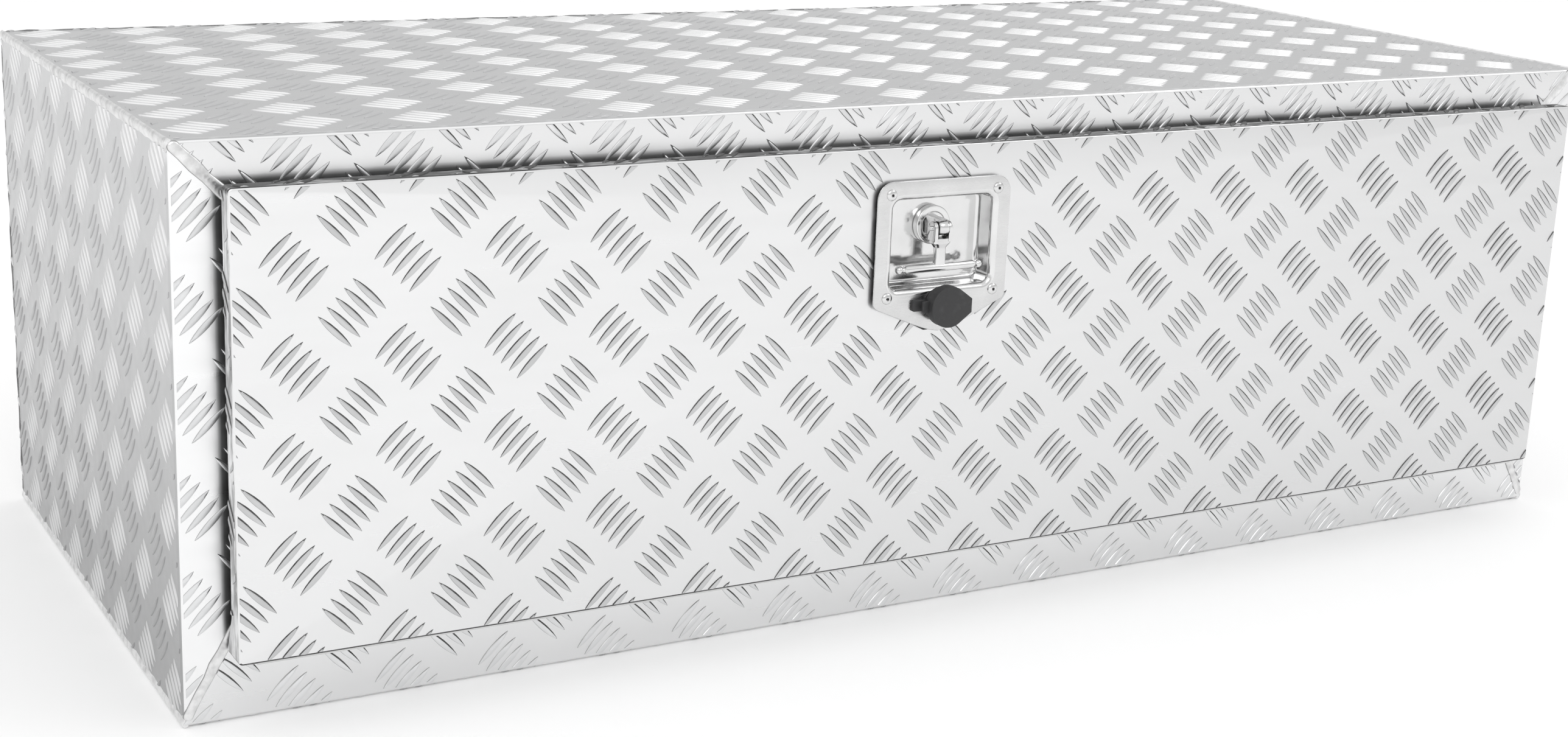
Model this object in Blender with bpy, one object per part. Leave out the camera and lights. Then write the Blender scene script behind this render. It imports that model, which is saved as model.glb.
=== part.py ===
"""Underbody truck tool box in tread-plate aluminium, with a drop-down front door and a folding T-handle latch.

Metres, +Z up. X runs along the box, the door faces -Y, and the origin is on the bottom face, at its middle.
Each sheet is as thick as its plate and raised bars together, so the sizes are those over the tread.
"""

import math

import bmesh
import bpy
from mathutils import Matrix, Vector

# Driving dimensions
LENGTH = 1.2192
DEPTH = 0.508
HEIGHT = 0.394
SHEET = 0.0032
FOLD = 0.0014  # inner radius of every sheet fold
GAP = 0.0003  # kept between pieces that touch

# Front frame, folded from the case panels
STRIP = 0.0432  # width of the side and top strips
BOTTOM_STRIP = 0.0756
LIP = 0.0136  # how far the doorway's lip stands out of the strips
SEAL_WALL = 0.0015

# Door
DOOR_MARGIN = 0.030  # from the case's outer faces to the door's top and sides
DOOR_BOTTOM = 0.049
DOOR_GAP = 0.003  # between the strips and the back of the door's returns
DOOR_THICK = 0.0255
DOOR_CORNER = 0.007
DOOR_FOLD = 0.0032  # outer radius of the folds round the door's face
RETURN = 0.0145  # depth of the door's side and top returns; the bottom one runs back to the hinge
RETURN_START = 0.008  # height above the door's lower edge where the side returns begin to narrow
RETURN_SLOPE = 0.022  # height over which they narrow

# Piano hinge
KNUCKLES = 15
BARREL = 0.00415
BARREL_BORE = 0.0024
PIN = 0.002
LEAF = 0.0015
LEAF_WIDTH = 0.0235
RIVETS = 6
RIVET_HOLE = 0.0027
RIVET_SHANK = 0.0024

# Stays: pivot and stud stand at one radius from the door's hinge, so a stay turns half as far as the door
STAY_RADIUS = 0.150
STAY_SPREAD = math.radians(20)
STAY_X = 0.5515  # inner face of the flat bar
STAY_BAR = 0.0025
STAY_WIDTH = 0.018
STUD = 0.003

# Latch
LATCH_X = -0.055
PLATE_WIDTH = 0.114
PLATE_TOP = 0.3420
PLATE_SHOULDER = 0.2535
PLATE_TIP = 0.2282
PLATE = 0.0015
GASKET = 0.0014
RECESS_WIDTH = 0.0852
RECESS_BOTTOM = 0.2614
RECESS_TOP = 0.3276
RECESS_DEPTH = 0.020
SPINDLE_Z = 0.3048
SPINDLE_HOLE = 0.0064
HANDLE_BAR_Z = 0.2755
HANDLE_HALF = 0.0372
HANDLE_EAR = 0.0052  # radius of the ears round the cross pin
LOCK_Z = 0.2492
LOCK_HOLE = 0.0083
LATCH_RIVET_HOLE = 0.0025
COVER_RADIUS = 0.0154
COVER_TAB = 0.0190

# Places that follow from them
SIDE = LENGTH / 2
FRONT = -DEPTH / 2
BACK = DEPTH / 2
STRIP_BACK = FRONT + SHEET
DOORWAY_X = SIDE - STRIP
DOORWAY_TOP = HEIGHT - STRIP
DOOR_BACK = FRONT - DOOR_GAP
DOOR_FRONT = DOOR_BACK - DOOR_THICK
DOOR_SKIN = DOOR_FRONT + SHEET  # inner face of the door's skin
DOOR_X = SIDE - DOOR_MARGIN
DOOR_TOP = HEIGHT - DOOR_MARGIN + 0.003
HINGE = Vector((0, FRONT - GAP - BARREL, DOOR_BOTTOM - GAP - BARREL))
HINGE_LENGTH = 2 * DOOR_X - 0.030
CASE_RIVET_Z = DOOR_BOTTOM + 0.0115
DOOR_RIVET_Y = DOOR_BACK - 0.0135
PIVOT_Y = DOOR_BACK - 0.005
PIVOT_ANGLE = math.acos((PIVOT_Y - HINGE.y) / STAY_RADIUS)
STUD_ANGLE = PIVOT_ANGLE - STAY_SPREAD
MITRE_RISE = (BOTTOM_STRIP - SHEET) / (STRIP - SHEET)  # the lower corner joints run to the doorway's outer corner
PLATE_FRONT = DOOR_FRONT - 2 * GAP - GASKET - PLATE
FLOOR = PLATE_FRONT + RECESS_DEPTH
LATCH_PIVOT_Y = PLATE_FRONT + 0.0045
LATCH_RIVET_SPOTS = [
    (side * (PLATE_WIDTH / 2 - 0.0112), height)
    for side in (-1, 1)
    for height in (PLATE_TOP - 0.0095, PLATE_SHOULDER + 0.0027)
]
COVER_AXIS = (LATCH_X - 0.020, PLATE_FRONT - 0.006)


# ---------------------------------------------------------------- materials


def finish(name, colour, roughness, metallic):
    """A plain Principled material."""
    material = bpy.data.materials.new(name)
    material.use_nodes = True
    shader = material.node_tree.nodes["Principled BSDF"]
    shader.inputs["Base Color"].default_value = (*colour, 1)
    shader.inputs["Roughness"].default_value = roughness
    shader.inputs["Metallic"].default_value = metallic
    material.diffuse_color = (*colour, 1)
    return material


def make_finishes():
    """Every finish of the object, by name."""
    return {
        "tread": finish("tread_aluminium", (0.86, 0.87, 0.88), 0.28, 1),
        "plain": finish("plain_aluminium", (0.78, 0.79, 0.80), 0.38, 1),
        "stainless": finish("stainless", (0.70, 0.70, 0.69), 0.22, 1),
        "zinc": finish("zinc_steel", (0.62, 0.63, 0.65), 0.35, 1),
        "rubber": finish("black_rubber", (0.035, 0.035, 0.037), 0.65, 0),
    }


# ---------------------------------------------------------------- shapes


def along_x(a, u, v):
    """Length along X; the section's plane is (Y, Z)."""
    return (a, u, v)


def along_y(a, u, v):
    """Length along Y; the section's plane is (X, Z)."""
    return (u, a, v)


def along_z(a, u, v):
    """Length along Z; the section's plane is (X, Y)."""
    return (u, v, a)


def closed_mesh(name, points, faces):
    """A mesh of these points and faces, its faces turned outwards."""
    shape = bmesh.new()
    corners = [shape.verts.new(point) for point in points]
    for face in faces:
        shape.faces.new([corners[i] for i in face])
    bmesh.ops.recalc_face_normals(shape, faces=shape.faces)
    mesh = bpy.data.meshes.new(name)
    shape.to_mesh(mesh)
    shape.free()
    return mesh


def extruded(name, outline, axis, low, high):
    """An outline carried from low to high; each may be a number or a function of the outline's point."""
    count = len(outline)
    points = [axis(end(u, v) if callable(end) else end, u, v) for end in (low, high) for u, v in outline]
    faces = [(i, (i + 1) % count, count + (i + 1) % count, count + i) for i in range(count)]
    faces += [tuple(range(count)), tuple(range(count, 2 * count))]
    return closed_mesh(name, points, faces)


def stacked(name, loops):
    """Loops of equal length joined in order, with a face over the first and the last."""
    count = len(loops[0])
    points = [point for loop in loops for point in loop]
    faces = [tuple(range(count)), tuple(range(len(points) - count, len(points)))]
    for row in range(len(loops) - 1):
        for i in range(count):
            j = (i + 1) % count
            faces.append((row * count + i, row * count + j, (row + 1) * count + j, (row + 1) * count + i))
    return closed_mesh(name, points, faces)


def ring_points(radius, steps, centre=(0, 0), turn=0.0):
    """Points on a circle."""
    return [
        (centre[0] + radius * math.cos(turn + math.tau * i / steps),
         centre[1] + radius * math.sin(turn + math.tau * i / steps))
        for i in range(steps)
    ]


def turned(name, profile, axis, centre, steps=24):
    """A solid of revolution: (length, radius) pairs from one end to the other, round the centre line."""
    loops = [[axis(length, u, v) for u, v in ring_points(radius, steps, centre)] for length, radius in profile]
    return smooth(stacked(name, loops))


def collar(name, low, high, inner, outer, axis, centre, steps=24):
    """A ring with a bore, given as its ends and its radii."""
    section = [(low, inner), (low, outer), (high, outer), (high, inner)]
    points = [axis(length, u, v) for length, radius in section for u, v in ring_points(radius, steps, centre)]
    faces = []
    for side in range(4):
        for i in range(steps):
            j = (i + 1) % steps
            a, b = side * steps, (side + 1) % 4 * steps
            faces.append((a + i, a + j, b + j, b + i))
    return smooth(closed_mesh(name, points, faces))


def smooth(mesh):
    """Rounded faces shaded smooth, edges over 40 degrees kept sharp."""
    mesh.shade_smooth()
    mesh.set_sharp_from_angle(angle=math.radians(40))
    return mesh


def box(name, x, y, z):
    """A block between these pairs of limits."""
    return extruded(name, [(x[0], y[0]), (x[1], y[0]), (x[1], y[1]), (x[0], y[1])], along_z, z[0], z[1])


def rounded_rectangle(u, v, radius, steps=4):
    """A rectangle between two pairs of limits, its corners rounded."""
    outline = []
    for sign_u, sign_v, turn in ((1, 1, 0), (-1, 1, 1), (-1, -1, 2), (1, -1, 3)):
        centre_u = (u[1] - radius) if sign_u > 0 else (u[0] + radius)
        centre_v = (v[1] - radius) if sign_v > 0 else (v[0] + radius)
        for i in range(steps + 1):
            angle = math.pi / 2 * (turn + i / steps)
            outline.append((centre_u + radius * math.cos(angle), centre_v + radius * math.sin(angle)))
    return outline


def folded(path, thickness, radius=FOLD, steps=4):
    """The section of a sheet folded along a path through the middle of its thickness."""
    middle = radius + thickness / 2
    corners = [Vector(point) for point in path]
    left, right = [], []

    def add(point, normal):
        left.append(tuple(point + normal * thickness / 2))
        right.append(tuple(point - normal * thickness / 2))

    def normal_of(direction):
        return Vector((-direction.y, direction.x))

    add(corners[0], normal_of((corners[1] - corners[0]).normalized()))
    for before, corner, after in zip(corners, corners[1:], corners[2:]):
        come, go = (corner - before).normalized(), (after - corner).normalized()
        turn = math.atan2(come.x * go.y - come.y * go.x, come.dot(go))
        reach = middle * math.tan(abs(turn) / 2)
        side = math.copysign(1, turn)
        centre = corner - come * reach + normal_of(come) * side * middle
        for i in range(steps + 1):
            away = Matrix.Rotation(turn * i / steps, 2) @ (normal_of(come) * -side)
            add(centre + away * middle, away * -side)
    add(corners[-1], normal_of((corners[-1] - corners[-2]).normalized()))
    return left + right[::-1]


# ---------------------------------------------------------------- objects


class Workshop:
    """Makes objects, hangs them on their body's empty, and cuts or joins them."""

    def __init__(self):
        self.finishes = make_finishes()
        self.bodies = {}

    def body(self, name, origin, parent=None):
        """An empty on a moving body's joint axis."""
        empty = bpy.data.objects.new(name + "_axis", None)
        bpy.context.scene.collection.objects.link(empty)
        empty.empty_display_size = 0.02
        empty.location = Vector(origin)
        if parent:
            empty.parent = self.bodies[parent]
            empty.location = Vector(origin) - self.place(parent)
        self.bodies[name] = empty
        return empty

    def place(self, name):
        """Where a body's empty stands in the world."""
        empty, place = self.bodies[name], Vector((0, 0, 0))
        while empty:
            place += empty.location
            empty = empty.parent
        return place

    def piece(self, name, mesh, material, body=None, at=(0, 0, 0)):
        """A sub-part, placed in the world and hung on its body."""
        thing = bpy.data.objects.new(name, mesh)
        bpy.context.scene.collection.objects.link(thing)
        if not mesh.materials:
            mesh.materials.append(self.finishes[material])
        thing.location = Vector(at)
        if body:
            thing.parent = self.bodies[body]
            thing.location = Vector(at) - self.place(body)
        return thing

    def change(self, thing, mesh, operation="DIFFERENCE"):
        """Cuts a hidden shape out of a piece, or joins it on."""
        tool = bpy.data.objects.new(f"{thing.name}.tool", mesh)
        bpy.context.scene.collection.objects.link(tool)
        tool.hide_render = True
        tool.display_type = "WIRE"
        step = thing.modifiers.new(operation.lower(), "BOOLEAN")
        step.operation = operation
        step.solver = "EXACT"
        step.object = tool
        return thing


def many(name, meshes):
    """Several separate cutter shapes in one mesh."""
    shape = bmesh.new()
    for mesh in meshes:
        shape.from_mesh(mesh)
    joined = bpy.data.meshes.new(name)
    shape.to_mesh(joined)
    shape.free()
    return joined


def drill(axis, spots, radius, low, high, steps=16):
    """Round cutters of one radius at several spots."""
    return many("drill", [
        extruded("hole", ring_points(radius, steps, spot), axis, low, high) for spot in spots
    ])


# ---------------------------------------------------------------- case


def mitre_top(x):
    """Height of the upper corner joints above a distance from the middle."""
    return HEIGHT - (SIDE - abs(x))


def mitre_bottom(x):
    """Height of the lower corner joints at a distance from the middle."""
    return (SIDE - abs(x)) * MITRE_RISE


def top_end(y, z):
    """Right end of the top panel at a height."""
    return SIDE - (HEIGHT - z) - GAP / 2


def bottom_end(y, z):
    """Right end of the bottom panel at a height."""
    return SIDE - z / MITRE_RISE - GAP / 2


def mirrored(end):
    """The same end on the left."""
    def left_end(y, z):
        return -end(y, z)
    return left_end


def side_low(x, y):
    """Lower end of a side panel at a distance from the middle."""
    return mitre_bottom(x) + GAP / 2


def side_high(x, y):
    """Upper end of a side panel at a distance from the middle."""
    return mitre_top(x) - GAP / 2


def make_case(shop):
    """Four folded panels that meet in mitred corners, and the back panel set in between them."""
    half = SHEET / 2
    strip = FRONT + half
    lip_end = FRONT - LIP + half
    top_path = [(BACK, HEIGHT - half), (strip, HEIGHT - half), (strip, DOORWAY_TOP + half),
                (lip_end, DOORWAY_TOP + half)]
    shop.piece("top_panel", extruded(
        "top_panel", folded(top_path, SHEET), along_x, mirrored(top_end), top_end), "tread")

    bottom_path = [(BACK, half), (strip, half), (strip, BOTTOM_STRIP - half), (lip_end, BOTTOM_STRIP - half)]
    bottom = shop.piece("bottom_panel", extruded(
        "bottom_panel", folded(bottom_path, SHEET), along_x, mirrored(bottom_end), bottom_end), "tread")
    shop.change(bottom, drill(along_y, rivet_spots(CASE_RIVET_Z), RIVET_HOLE, FRONT - 0.01, STRIP_BACK + 0.01))

    for name, side in (("left_panel", -1), ("right_panel", 1)):
        path = [(side * (SIDE - half), BACK), (side * (SIDE - half), strip),
                (side * (DOORWAY_X + half), strip), (side * (DOORWAY_X + half), lip_end)]
        shop.piece(name, extruded(name, folded(path, SHEET), along_z, side_low, side_high), "tread")

    inner = SIDE - SHEET - GAP
    shop.piece("back_panel", box(
        "back_panel", (-inner, inner), (BACK - SHEET, BACK), (2 * SHEET, HEIGHT - SHEET - GAP)), "tread")


def make_seal(shop):
    """A bulb seal: a channel pushed over the lip, with its bulb towards the door."""
    lip = DOORWAY_X, DOORWAY_X + SHEET
    grip = FRONT - LIP + 0.004  # where the channel starts on the lip
    tip = DOOR_SKIN + GAP
    clear = GAP + SEAL_WALL
    section = [
        (-clear, grip), (-clear, FRONT - LIP - 0.004), (SHEET / 2 - 0.0030, tip), (SHEET / 2 + 0.0030, tip),
        (SHEET + clear, FRONT - LIP - 0.004), (SHEET + clear, grip), (SHEET + GAP, grip),
        (SHEET + GAP, FRONT - LIP - GAP), (-GAP, FRONT - LIP - GAP), (-GAP, grip),
    ]
    points, faces = [], []
    for out, y in section:
        x, top, bottom = lip[0] + out, DOORWAY_TOP + out, BOTTOM_STRIP - out
        points += [(x, y, top), (-x, y, top), (-x, y, bottom), (x, y, bottom)]
    count = len(section)
    for row in range(count):
        for i in range(4):
            j, after = (i + 1) % 4, (row + 1) % count
            faces.append((row * 4 + i, row * 4 + j, after * 4 + j, after * 4 + i))
    shop.piece("door_seal", closed_mesh("door_seal", points, faces), "rubber")


# ---------------------------------------------------------------- hinge

def rivet_spots(height):
    """Evenly spaced rivet places along the hinge, at this height or depth."""
    step = HINGE_LENGTH / RIVETS
    return [(-HINGE_LENGTH / 2 + step * (i + 0.5), height) for i in range(RIVETS)]


def knuckle_spans(first):
    """Ends of every second knuckle along the hinge."""
    pitch = HINGE_LENGTH / KNUCKLES
    start = -HINGE_LENGTH / 2
    return [(start + pitch * i + GAP, start + pitch * (i + 1) - GAP) for i in range(first, KNUCKLES, 2)]


def comb(first, root, tip, edge):
    """A leaf's outline: a strip from tip to edge, with teeth down to root where its knuckles are."""
    start, stop = -HINGE_LENGTH / 2, HINGE_LENGTH / 2
    outline = [(stop, edge), (start, edge), (start, tip)]
    for low, high in knuckle_spans(first):
        if low - start < 2 * GAP:
            outline.pop()
            low = start
            outline.append((start, root))
        else:
            outline += [(low, tip), (low, root)]
        if stop - high < 2 * GAP:
            outline.append((stop, root))
        else:
            outline += [(high, root), (high, tip)]
    if outline[-1][1] == tip:
        outline.append((stop, tip))
    return outline


def barrels(first):
    """The knuckles of one leaf."""
    return many("barrels", [
        collar("barrel", low, high, BARREL_BORE, BARREL, along_x, (HINGE.y, HINGE.z), 12)
        for low, high in knuckle_spans(first)
    ])


def make_hinge(shop):
    """A piano hinge: the case leaf stands behind the door, the door leaf lies under its bottom return."""
    clear = BARREL + 0.0006
    face = FRONT - GAP
    leaf = shop.piece("hinge_case_leaf", extruded(
        "hinge_case_leaf", comb(0, HINGE.z, HINGE.z + clear, HINGE.z + LEAF_WIDTH), along_y,
        face - LEAF, face), "stainless")
    shop.change(leaf, barrels(0), "UNION")
    shop.change(leaf, drill(along_y, rivet_spots(CASE_RIVET_Z), RIVET_HOLE, face - 0.01, face + 0.01))

    under = DOOR_BOTTOM - GAP
    leaf = shop.piece("hinge_door_leaf", extruded(
        "hinge_door_leaf", comb(1, HINGE.y, HINGE.y - clear, DOOR_FRONT + 0.006), along_z,
        under - LEAF, under), "stainless", "door")
    shop.change(leaf, barrels(1), "UNION")
    shop.change(leaf, drill(along_z, rivet_spots(DOOR_RIVET_Y), RIVET_HOLE, under - 0.01, under + 0.01))

    end = HINGE_LENGTH / 2 + 0.001
    shop.piece("hinge_pin", turned(
        "hinge_pin", [(-end, PIN * 0.7), (-end + 0.0006, PIN), (end - 0.0006, PIN), (end, PIN * 0.7)],
        along_x, (HINGE.y, HINGE.z), 16), "stainless")


def make_rivet(name, axis, head, tail, toward):
    """A blind rivet: a domed head, a shank, and the tail that is drawn up behind the sheets."""
    profile = [
        (head - toward * 0.0018, 0.0014), (head - toward * 0.0013, 0.0034), (head, 0.0046), (head, RIVET_SHANK),
        (tail, RIVET_SHANK), (tail, 0.0036), (tail + toward * 0.0028, 0.0024),
    ]
    return turned(name, profile, axis, (0, 0), 16)


def make_hinge_rivets(shop):
    """The rivets of both leaves."""
    leaf_face = FRONT - 2 * GAP - LEAF
    case_rivet = make_rivet("case_rivet", along_y, leaf_face, STRIP_BACK + GAP, 1)
    for i, (x, z) in enumerate(rivet_spots(CASE_RIVET_Z)):
        shop.piece(f"case_rivet_{i + 1}", case_rivet, "plain", at=(x, 0, z))
    leaf_under = DOOR_BOTTOM - 2 * GAP - LEAF
    door_rivet = make_rivet("door_rivet", along_z, leaf_under, DOOR_BOTTOM + SHEET + GAP, 1)
    for i, (x, y) in enumerate(rivet_spots(DOOR_RIVET_Y)):
        shop.piece(f"door_rivet_{i + 1}", door_rivet, "plain", "door", at=(x, y, 0))


# ---------------------------------------------------------------- door


def make_door(shop):
    """A folded pan with closed corners, cut out for the latch, the lock and the rivets."""
    loops = []

    def loop(inset, y, corner):
        across = (-DOOR_X + inset, DOOR_X - inset)
        up = (DOOR_BOTTOM + inset, DOOR_TOP - inset)
        loops.append([along_y(y, x, z) for x, z in rounded_rectangle(across, up, max(corner, 0.0008))])

    for i in range(4):
        angle = math.pi / 2 * i / 3
        inset = DOOR_FOLD * (1 - math.sin(angle))
        loop(inset, DOOR_FRONT + DOOR_FOLD * (1 - math.cos(angle)), DOOR_CORNER - inset)
    loop(0, DOOR_BACK, DOOR_CORNER)
    loop(SHEET, DOOR_BACK, DOOR_CORNER - SHEET)
    loop(SHEET, DOOR_SKIN, DOOR_CORNER - SHEET)
    door = shop.piece("door_pan", stacked("door_pan", loops), "tread", "door")
    short, start, beyond = DOOR_FRONT + RETURN, DOOR_BOTTOM + RETURN_START, DOOR_BACK + 0.01
    waste = [(beyond, start), (beyond, DOOR_TOP + 0.01), (short, DOOR_TOP + 0.01), (short, start + RETURN_SLOPE),
             (DOOR_BACK, start)]
    shop.change(door, extruded("waste", waste, along_x, -SIDE, SIDE))

    through = DOOR_FRONT - 0.005, DOOR_SKIN + 0.005
    wall = PLATE + 0.0010
    across = (LATCH_X - RECESS_WIDTH / 2 - wall, LATCH_X + RECESS_WIDTH / 2 + wall)
    opening = rounded_rectangle(across, (RECESS_BOTTOM - PLATE - GAP, RECESS_TOP + wall), 0.006)
    shop.change(door, extruded("recess_hole", opening, along_y, *through))
    shop.change(door, drill(along_y, [(LATCH_X, LOCK_Z)], LOCK_HOLE, *through, steps=24))
    spots = [(LATCH_X + x, z) for x, z in LATCH_RIVET_SPOTS]
    shop.change(door, drill(along_y, spots, LATCH_RIVET_HOLE, *through))
    shop.change(door, drill(
        along_z, rivet_spots(DOOR_RIVET_Y), RIVET_HOLE, DOOR_BOTTOM - 0.005, DOOR_BOTTOM + SHEET + 0.005))

    for name, side in (("door_stiffener_left", -1), ("door_stiffener_right", 1)):
        make_stiffener(shop, name, side * 0.300)


def make_stiffener(shop, name, x):
    """A hat section on the inside of the door's skin."""
    metal, crown, foot, tall = 0.0015, 0.021, 0.018, 0.0115
    base = DOOR_SKIN + GAP + metal / 2
    path = [(x - crown - foot, base), (x - crown, base), (x - crown + 0.003, base + tall),
            (x + crown - 0.003, base + tall), (x + crown, base), (x + crown + foot, base)]
    shop.piece(name, extruded(
        name, folded(path, metal, 0.0012, 3), along_z, BOTTOM_STRIP + 0.012, DOORWAY_TOP - 0.012), "plain", "door")


# ---------------------------------------------------------------- stays


def at_hinge_radius(angle):
    """A point in the (Y, Z) plane at the stays' radius from the door's hinge."""
    return Vector((HINGE.y + STAY_RADIUS * math.cos(angle), HINGE.z + STAY_RADIUS * math.sin(angle)))


def stadium(start, stop, radius, steps=6):
    """The outline round a straight slot or bar between two centres."""
    along = math.atan2(stop.y - start.y, stop.x - start.x)
    outline = []
    for centre, turn in ((stop, along - math.pi / 2), (start, along + math.pi / 2)):
        for i in range(steps + 1):
            angle = turn + math.pi * i / steps
            outline.append((centre.x + radius * math.cos(angle), centre.y + radius * math.sin(angle)))
    return outline


def make_stay(shop, side, hand):
    """One slotted stay with its clip and pin on the door and its bracket and stud on the case."""
    pivot, stud = at_hinge_radius(PIVOT_ANGLE), at_hinge_radius(STUD_ANGLE)
    direction = (stud - pivot).normalized()
    shut = 2 * STAY_RADIUS * math.sin(STAY_SPREAD / 2)
    open_ = 2 * STAY_RADIUS * math.sin((STAY_SPREAD + math.pi / 2) / 2)
    near, far = sorted((side * STAY_X, side * (STAY_X + STAY_BAR)))
    reach = pivot + direction * (open_ + 0.004)
    bar = shop.piece(f"stay_{hand}", extruded(
        f"stay_{hand}", stadium(pivot, reach, STAY_WIDTH / 2), along_x, near, far), "zinc", f"stay_{hand}")
    slot = stadium(pivot + direction * (shut - 0.0015), pivot + direction * (open_ + 0.0015), STUD + 0.0004)
    shop.change(bar, extruded("slot", slot, along_x, near - 0.005, far + 0.005))
    shop.change(bar, drill(along_x, [tuple(pivot)], 0.0026, near - 0.005, far + 0.005))

    # The clip inside the door: its foot lies on the skin, its ear carries the pivot pin
    metal = 0.0024
    ear = STAY_X - 0.0025 - metal / 2
    foot = DOOR_SKIN + GAP + metal / 2
    path = [(side * (ear - 0.030), foot), (side * ear, foot), (side * ear, pivot.x + 0.008)]
    clip = shop.piece(f"stay_clip_{hand}", extruded(
        f"stay_clip_{hand}", folded(path, metal), along_z, pivot.y - 0.0125, pivot.y + 0.0125), "zinc", "door")
    shop.change(clip, drill(along_x, [tuple(pivot)], 0.0026, *sorted((side * (ear - 0.01), side * (ear + 0.01)))))
    profile = [(ear - 0.0032, 0.0030), (ear - 0.0026, 0.0042), (ear - 0.0015, 0.0042), (ear - 0.0015, 0.0023),
               (ear + 0.0015, 0.0023), (ear + 0.0015, 0.0036), (STAY_X - GAP, 0.0036), (STAY_X - GAP, 0.0023),
               (STAY_X + STAY_BAR + GAP, 0.0023), (STAY_X + STAY_BAR + GAP, 0.0042),
               (STAY_X + STAY_BAR + 0.0018, 0.0042), (STAY_X + STAY_BAR + 0.0024, 0.0030)]
    shop.piece(f"stay_pin_{hand}", turned(
        f"stay_pin_{hand}", [(side * x, r) for x, r in profile], along_x, tuple(pivot), 16), "zinc", "door")

    # The bracket behind the side strip: one leg on the strip, the other standing back into the case
    leg = DOORWAY_X + 0.0016
    path = [(side * (leg + 0.030), STRIP_BACK + GAP + metal / 2), (side * leg, STRIP_BACK + GAP + metal / 2),
            (side * leg, stud.x + 0.012)]
    bracket = shop.piece(f"stay_bracket_{hand}", extruded(
        f"stay_bracket_{hand}", folded(path, metal), along_z, stud.y - 0.0125, stud.y + 0.0125), "zinc")
    through = sorted((side * (leg - 0.01), side * (leg + 0.01)))
    shop.change(bracket, drill(along_x, [tuple(stud)], STUD + 0.0004, *through))
    profile = [(STAY_X - 0.0032, 0.0050), (STAY_X - 0.0026, 0.0064), (STAY_X - GAP, 0.0064), (STAY_X - GAP, STUD),
               (STAY_X + STAY_BAR + GAP, STUD), (STAY_X + STAY_BAR + GAP, 0.0052), (leg - 0.0015, 0.0052),
               (leg - 0.0015, STUD), (leg + 0.0015, STUD), (leg + 0.0015, 0.0048), (leg + 0.0032, 0.0042)]
    shop.piece(f"stay_stud_{hand}", turned(
        f"stay_stud_{hand}", [(side * x, r) for x, r in profile], along_x, tuple(stud), 16), "zinc")


# ---------------------------------------------------------------- latch


def plate_outline(inset=0.0):
    """The dish's outline: rounded top corners, and sides that run in to a blunt point below the lock."""
    half = PLATE_WIDTH / 2 - inset
    top, shoulder, tip = PLATE_TOP - inset, PLATE_SHOULDER, PLATE_TIP + inset
    corner, blunt = 0.013 - inset, 0.012
    outline = []
    for side in (1, -1):
        part = [(side * blunt, tip), (side * (half - 0.006), shoulder - 0.0042), (side * half, shoulder + 0.0050)]
        for i in range(6):
            angle = math.pi / 2 * i / 5
            part.append((side * (half - corner + corner * math.cos(angle)), top - corner + corner * math.sin(angle)))
        outline += part if side > 0 else part[::-1]
    return [(LATCH_X + x, z) for x, z in outline]


def make_dish(shop):
    """The pressed dish with its recess, on a rubber gasket, held by four rivets."""
    spots = [(LATCH_X + x, z) for x, z in LATCH_RIVET_SPOTS]
    around = (LATCH_X - RECESS_WIDTH / 2, LATCH_X + RECESS_WIDTH / 2)
    back = PLATE_FRONT + PLATE
    tub = rounded_rectangle(
        (around[0] - PLATE, around[1] + PLATE), (RECESS_BOTTOM - PLATE, RECESS_TOP + PLATE), 0.0065)
    hollow = rounded_rectangle(around, (RECESS_BOTTOM, RECESS_TOP), 0.005)
    dish = shop.piece("latch_dish", extruded(
        "latch_dish", plate_outline(), along_y, PLATE_FRONT, back), "stainless", "door")
    shop.change(dish, extruded("tub", tub, along_y, back - 0.0007, FLOOR + PLATE), "UNION")
    shop.change(dish, extruded("hollow", hollow, along_y, PLATE_FRONT - 0.005, FLOOR))
    shop.change(dish, drill(along_y, [(LATCH_X, SPINDLE_Z)], SPINDLE_HOLE, FLOOR - 0.005, FLOOR + 0.01, steps=24))
    through = PLATE_FRONT - 0.005, back + 0.005
    shop.change(dish, drill(along_y, [(LATCH_X, LOCK_Z)], LOCK_HOLE, *through, steps=24))
    shop.change(dish, drill(along_y, spots, LATCH_RIVET_HOLE, *through))

    front = back + GAP
    gasket = shop.piece("latch_gasket", extruded(
        "latch_gasket", plate_outline(0.0012), along_y, front, front + GASKET), "rubber", "door")
    through = front - 0.005, front + GASKET + 0.005
    hole = rounded_rectangle(
        (around[0] - 0.0025, around[1] + 0.0025), (RECESS_BOTTOM - PLATE - GAP, RECESS_TOP + 0.0025), 0.006)
    shop.change(gasket, extruded("hole", hole, along_y, *through))
    shop.change(gasket, drill(along_y, [(LATCH_X, LOCK_Z)], LOCK_HOLE, *through, steps=24))
    shop.change(gasket, drill(along_y, spots, LATCH_RIVET_HOLE, *through))

    head = PLATE_FRONT - GAP
    tail = DOOR_SKIN + GAP
    profile = [(head - 0.0017, 0.0012), (head - 0.0012, 0.0029), (head, 0.0040), (head, 0.0022), (tail, 0.0022),
               (tail, 0.0034), (tail + 0.0025, 0.0024)]
    rivet = turned("latch_rivet", profile, along_y, (0, 0), 16)
    for i, (x, z) in enumerate(spots):
        shop.piece(f"latch_rivet_{i + 1}", rivet, "stainless", "door", at=(x, 0, z))


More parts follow.
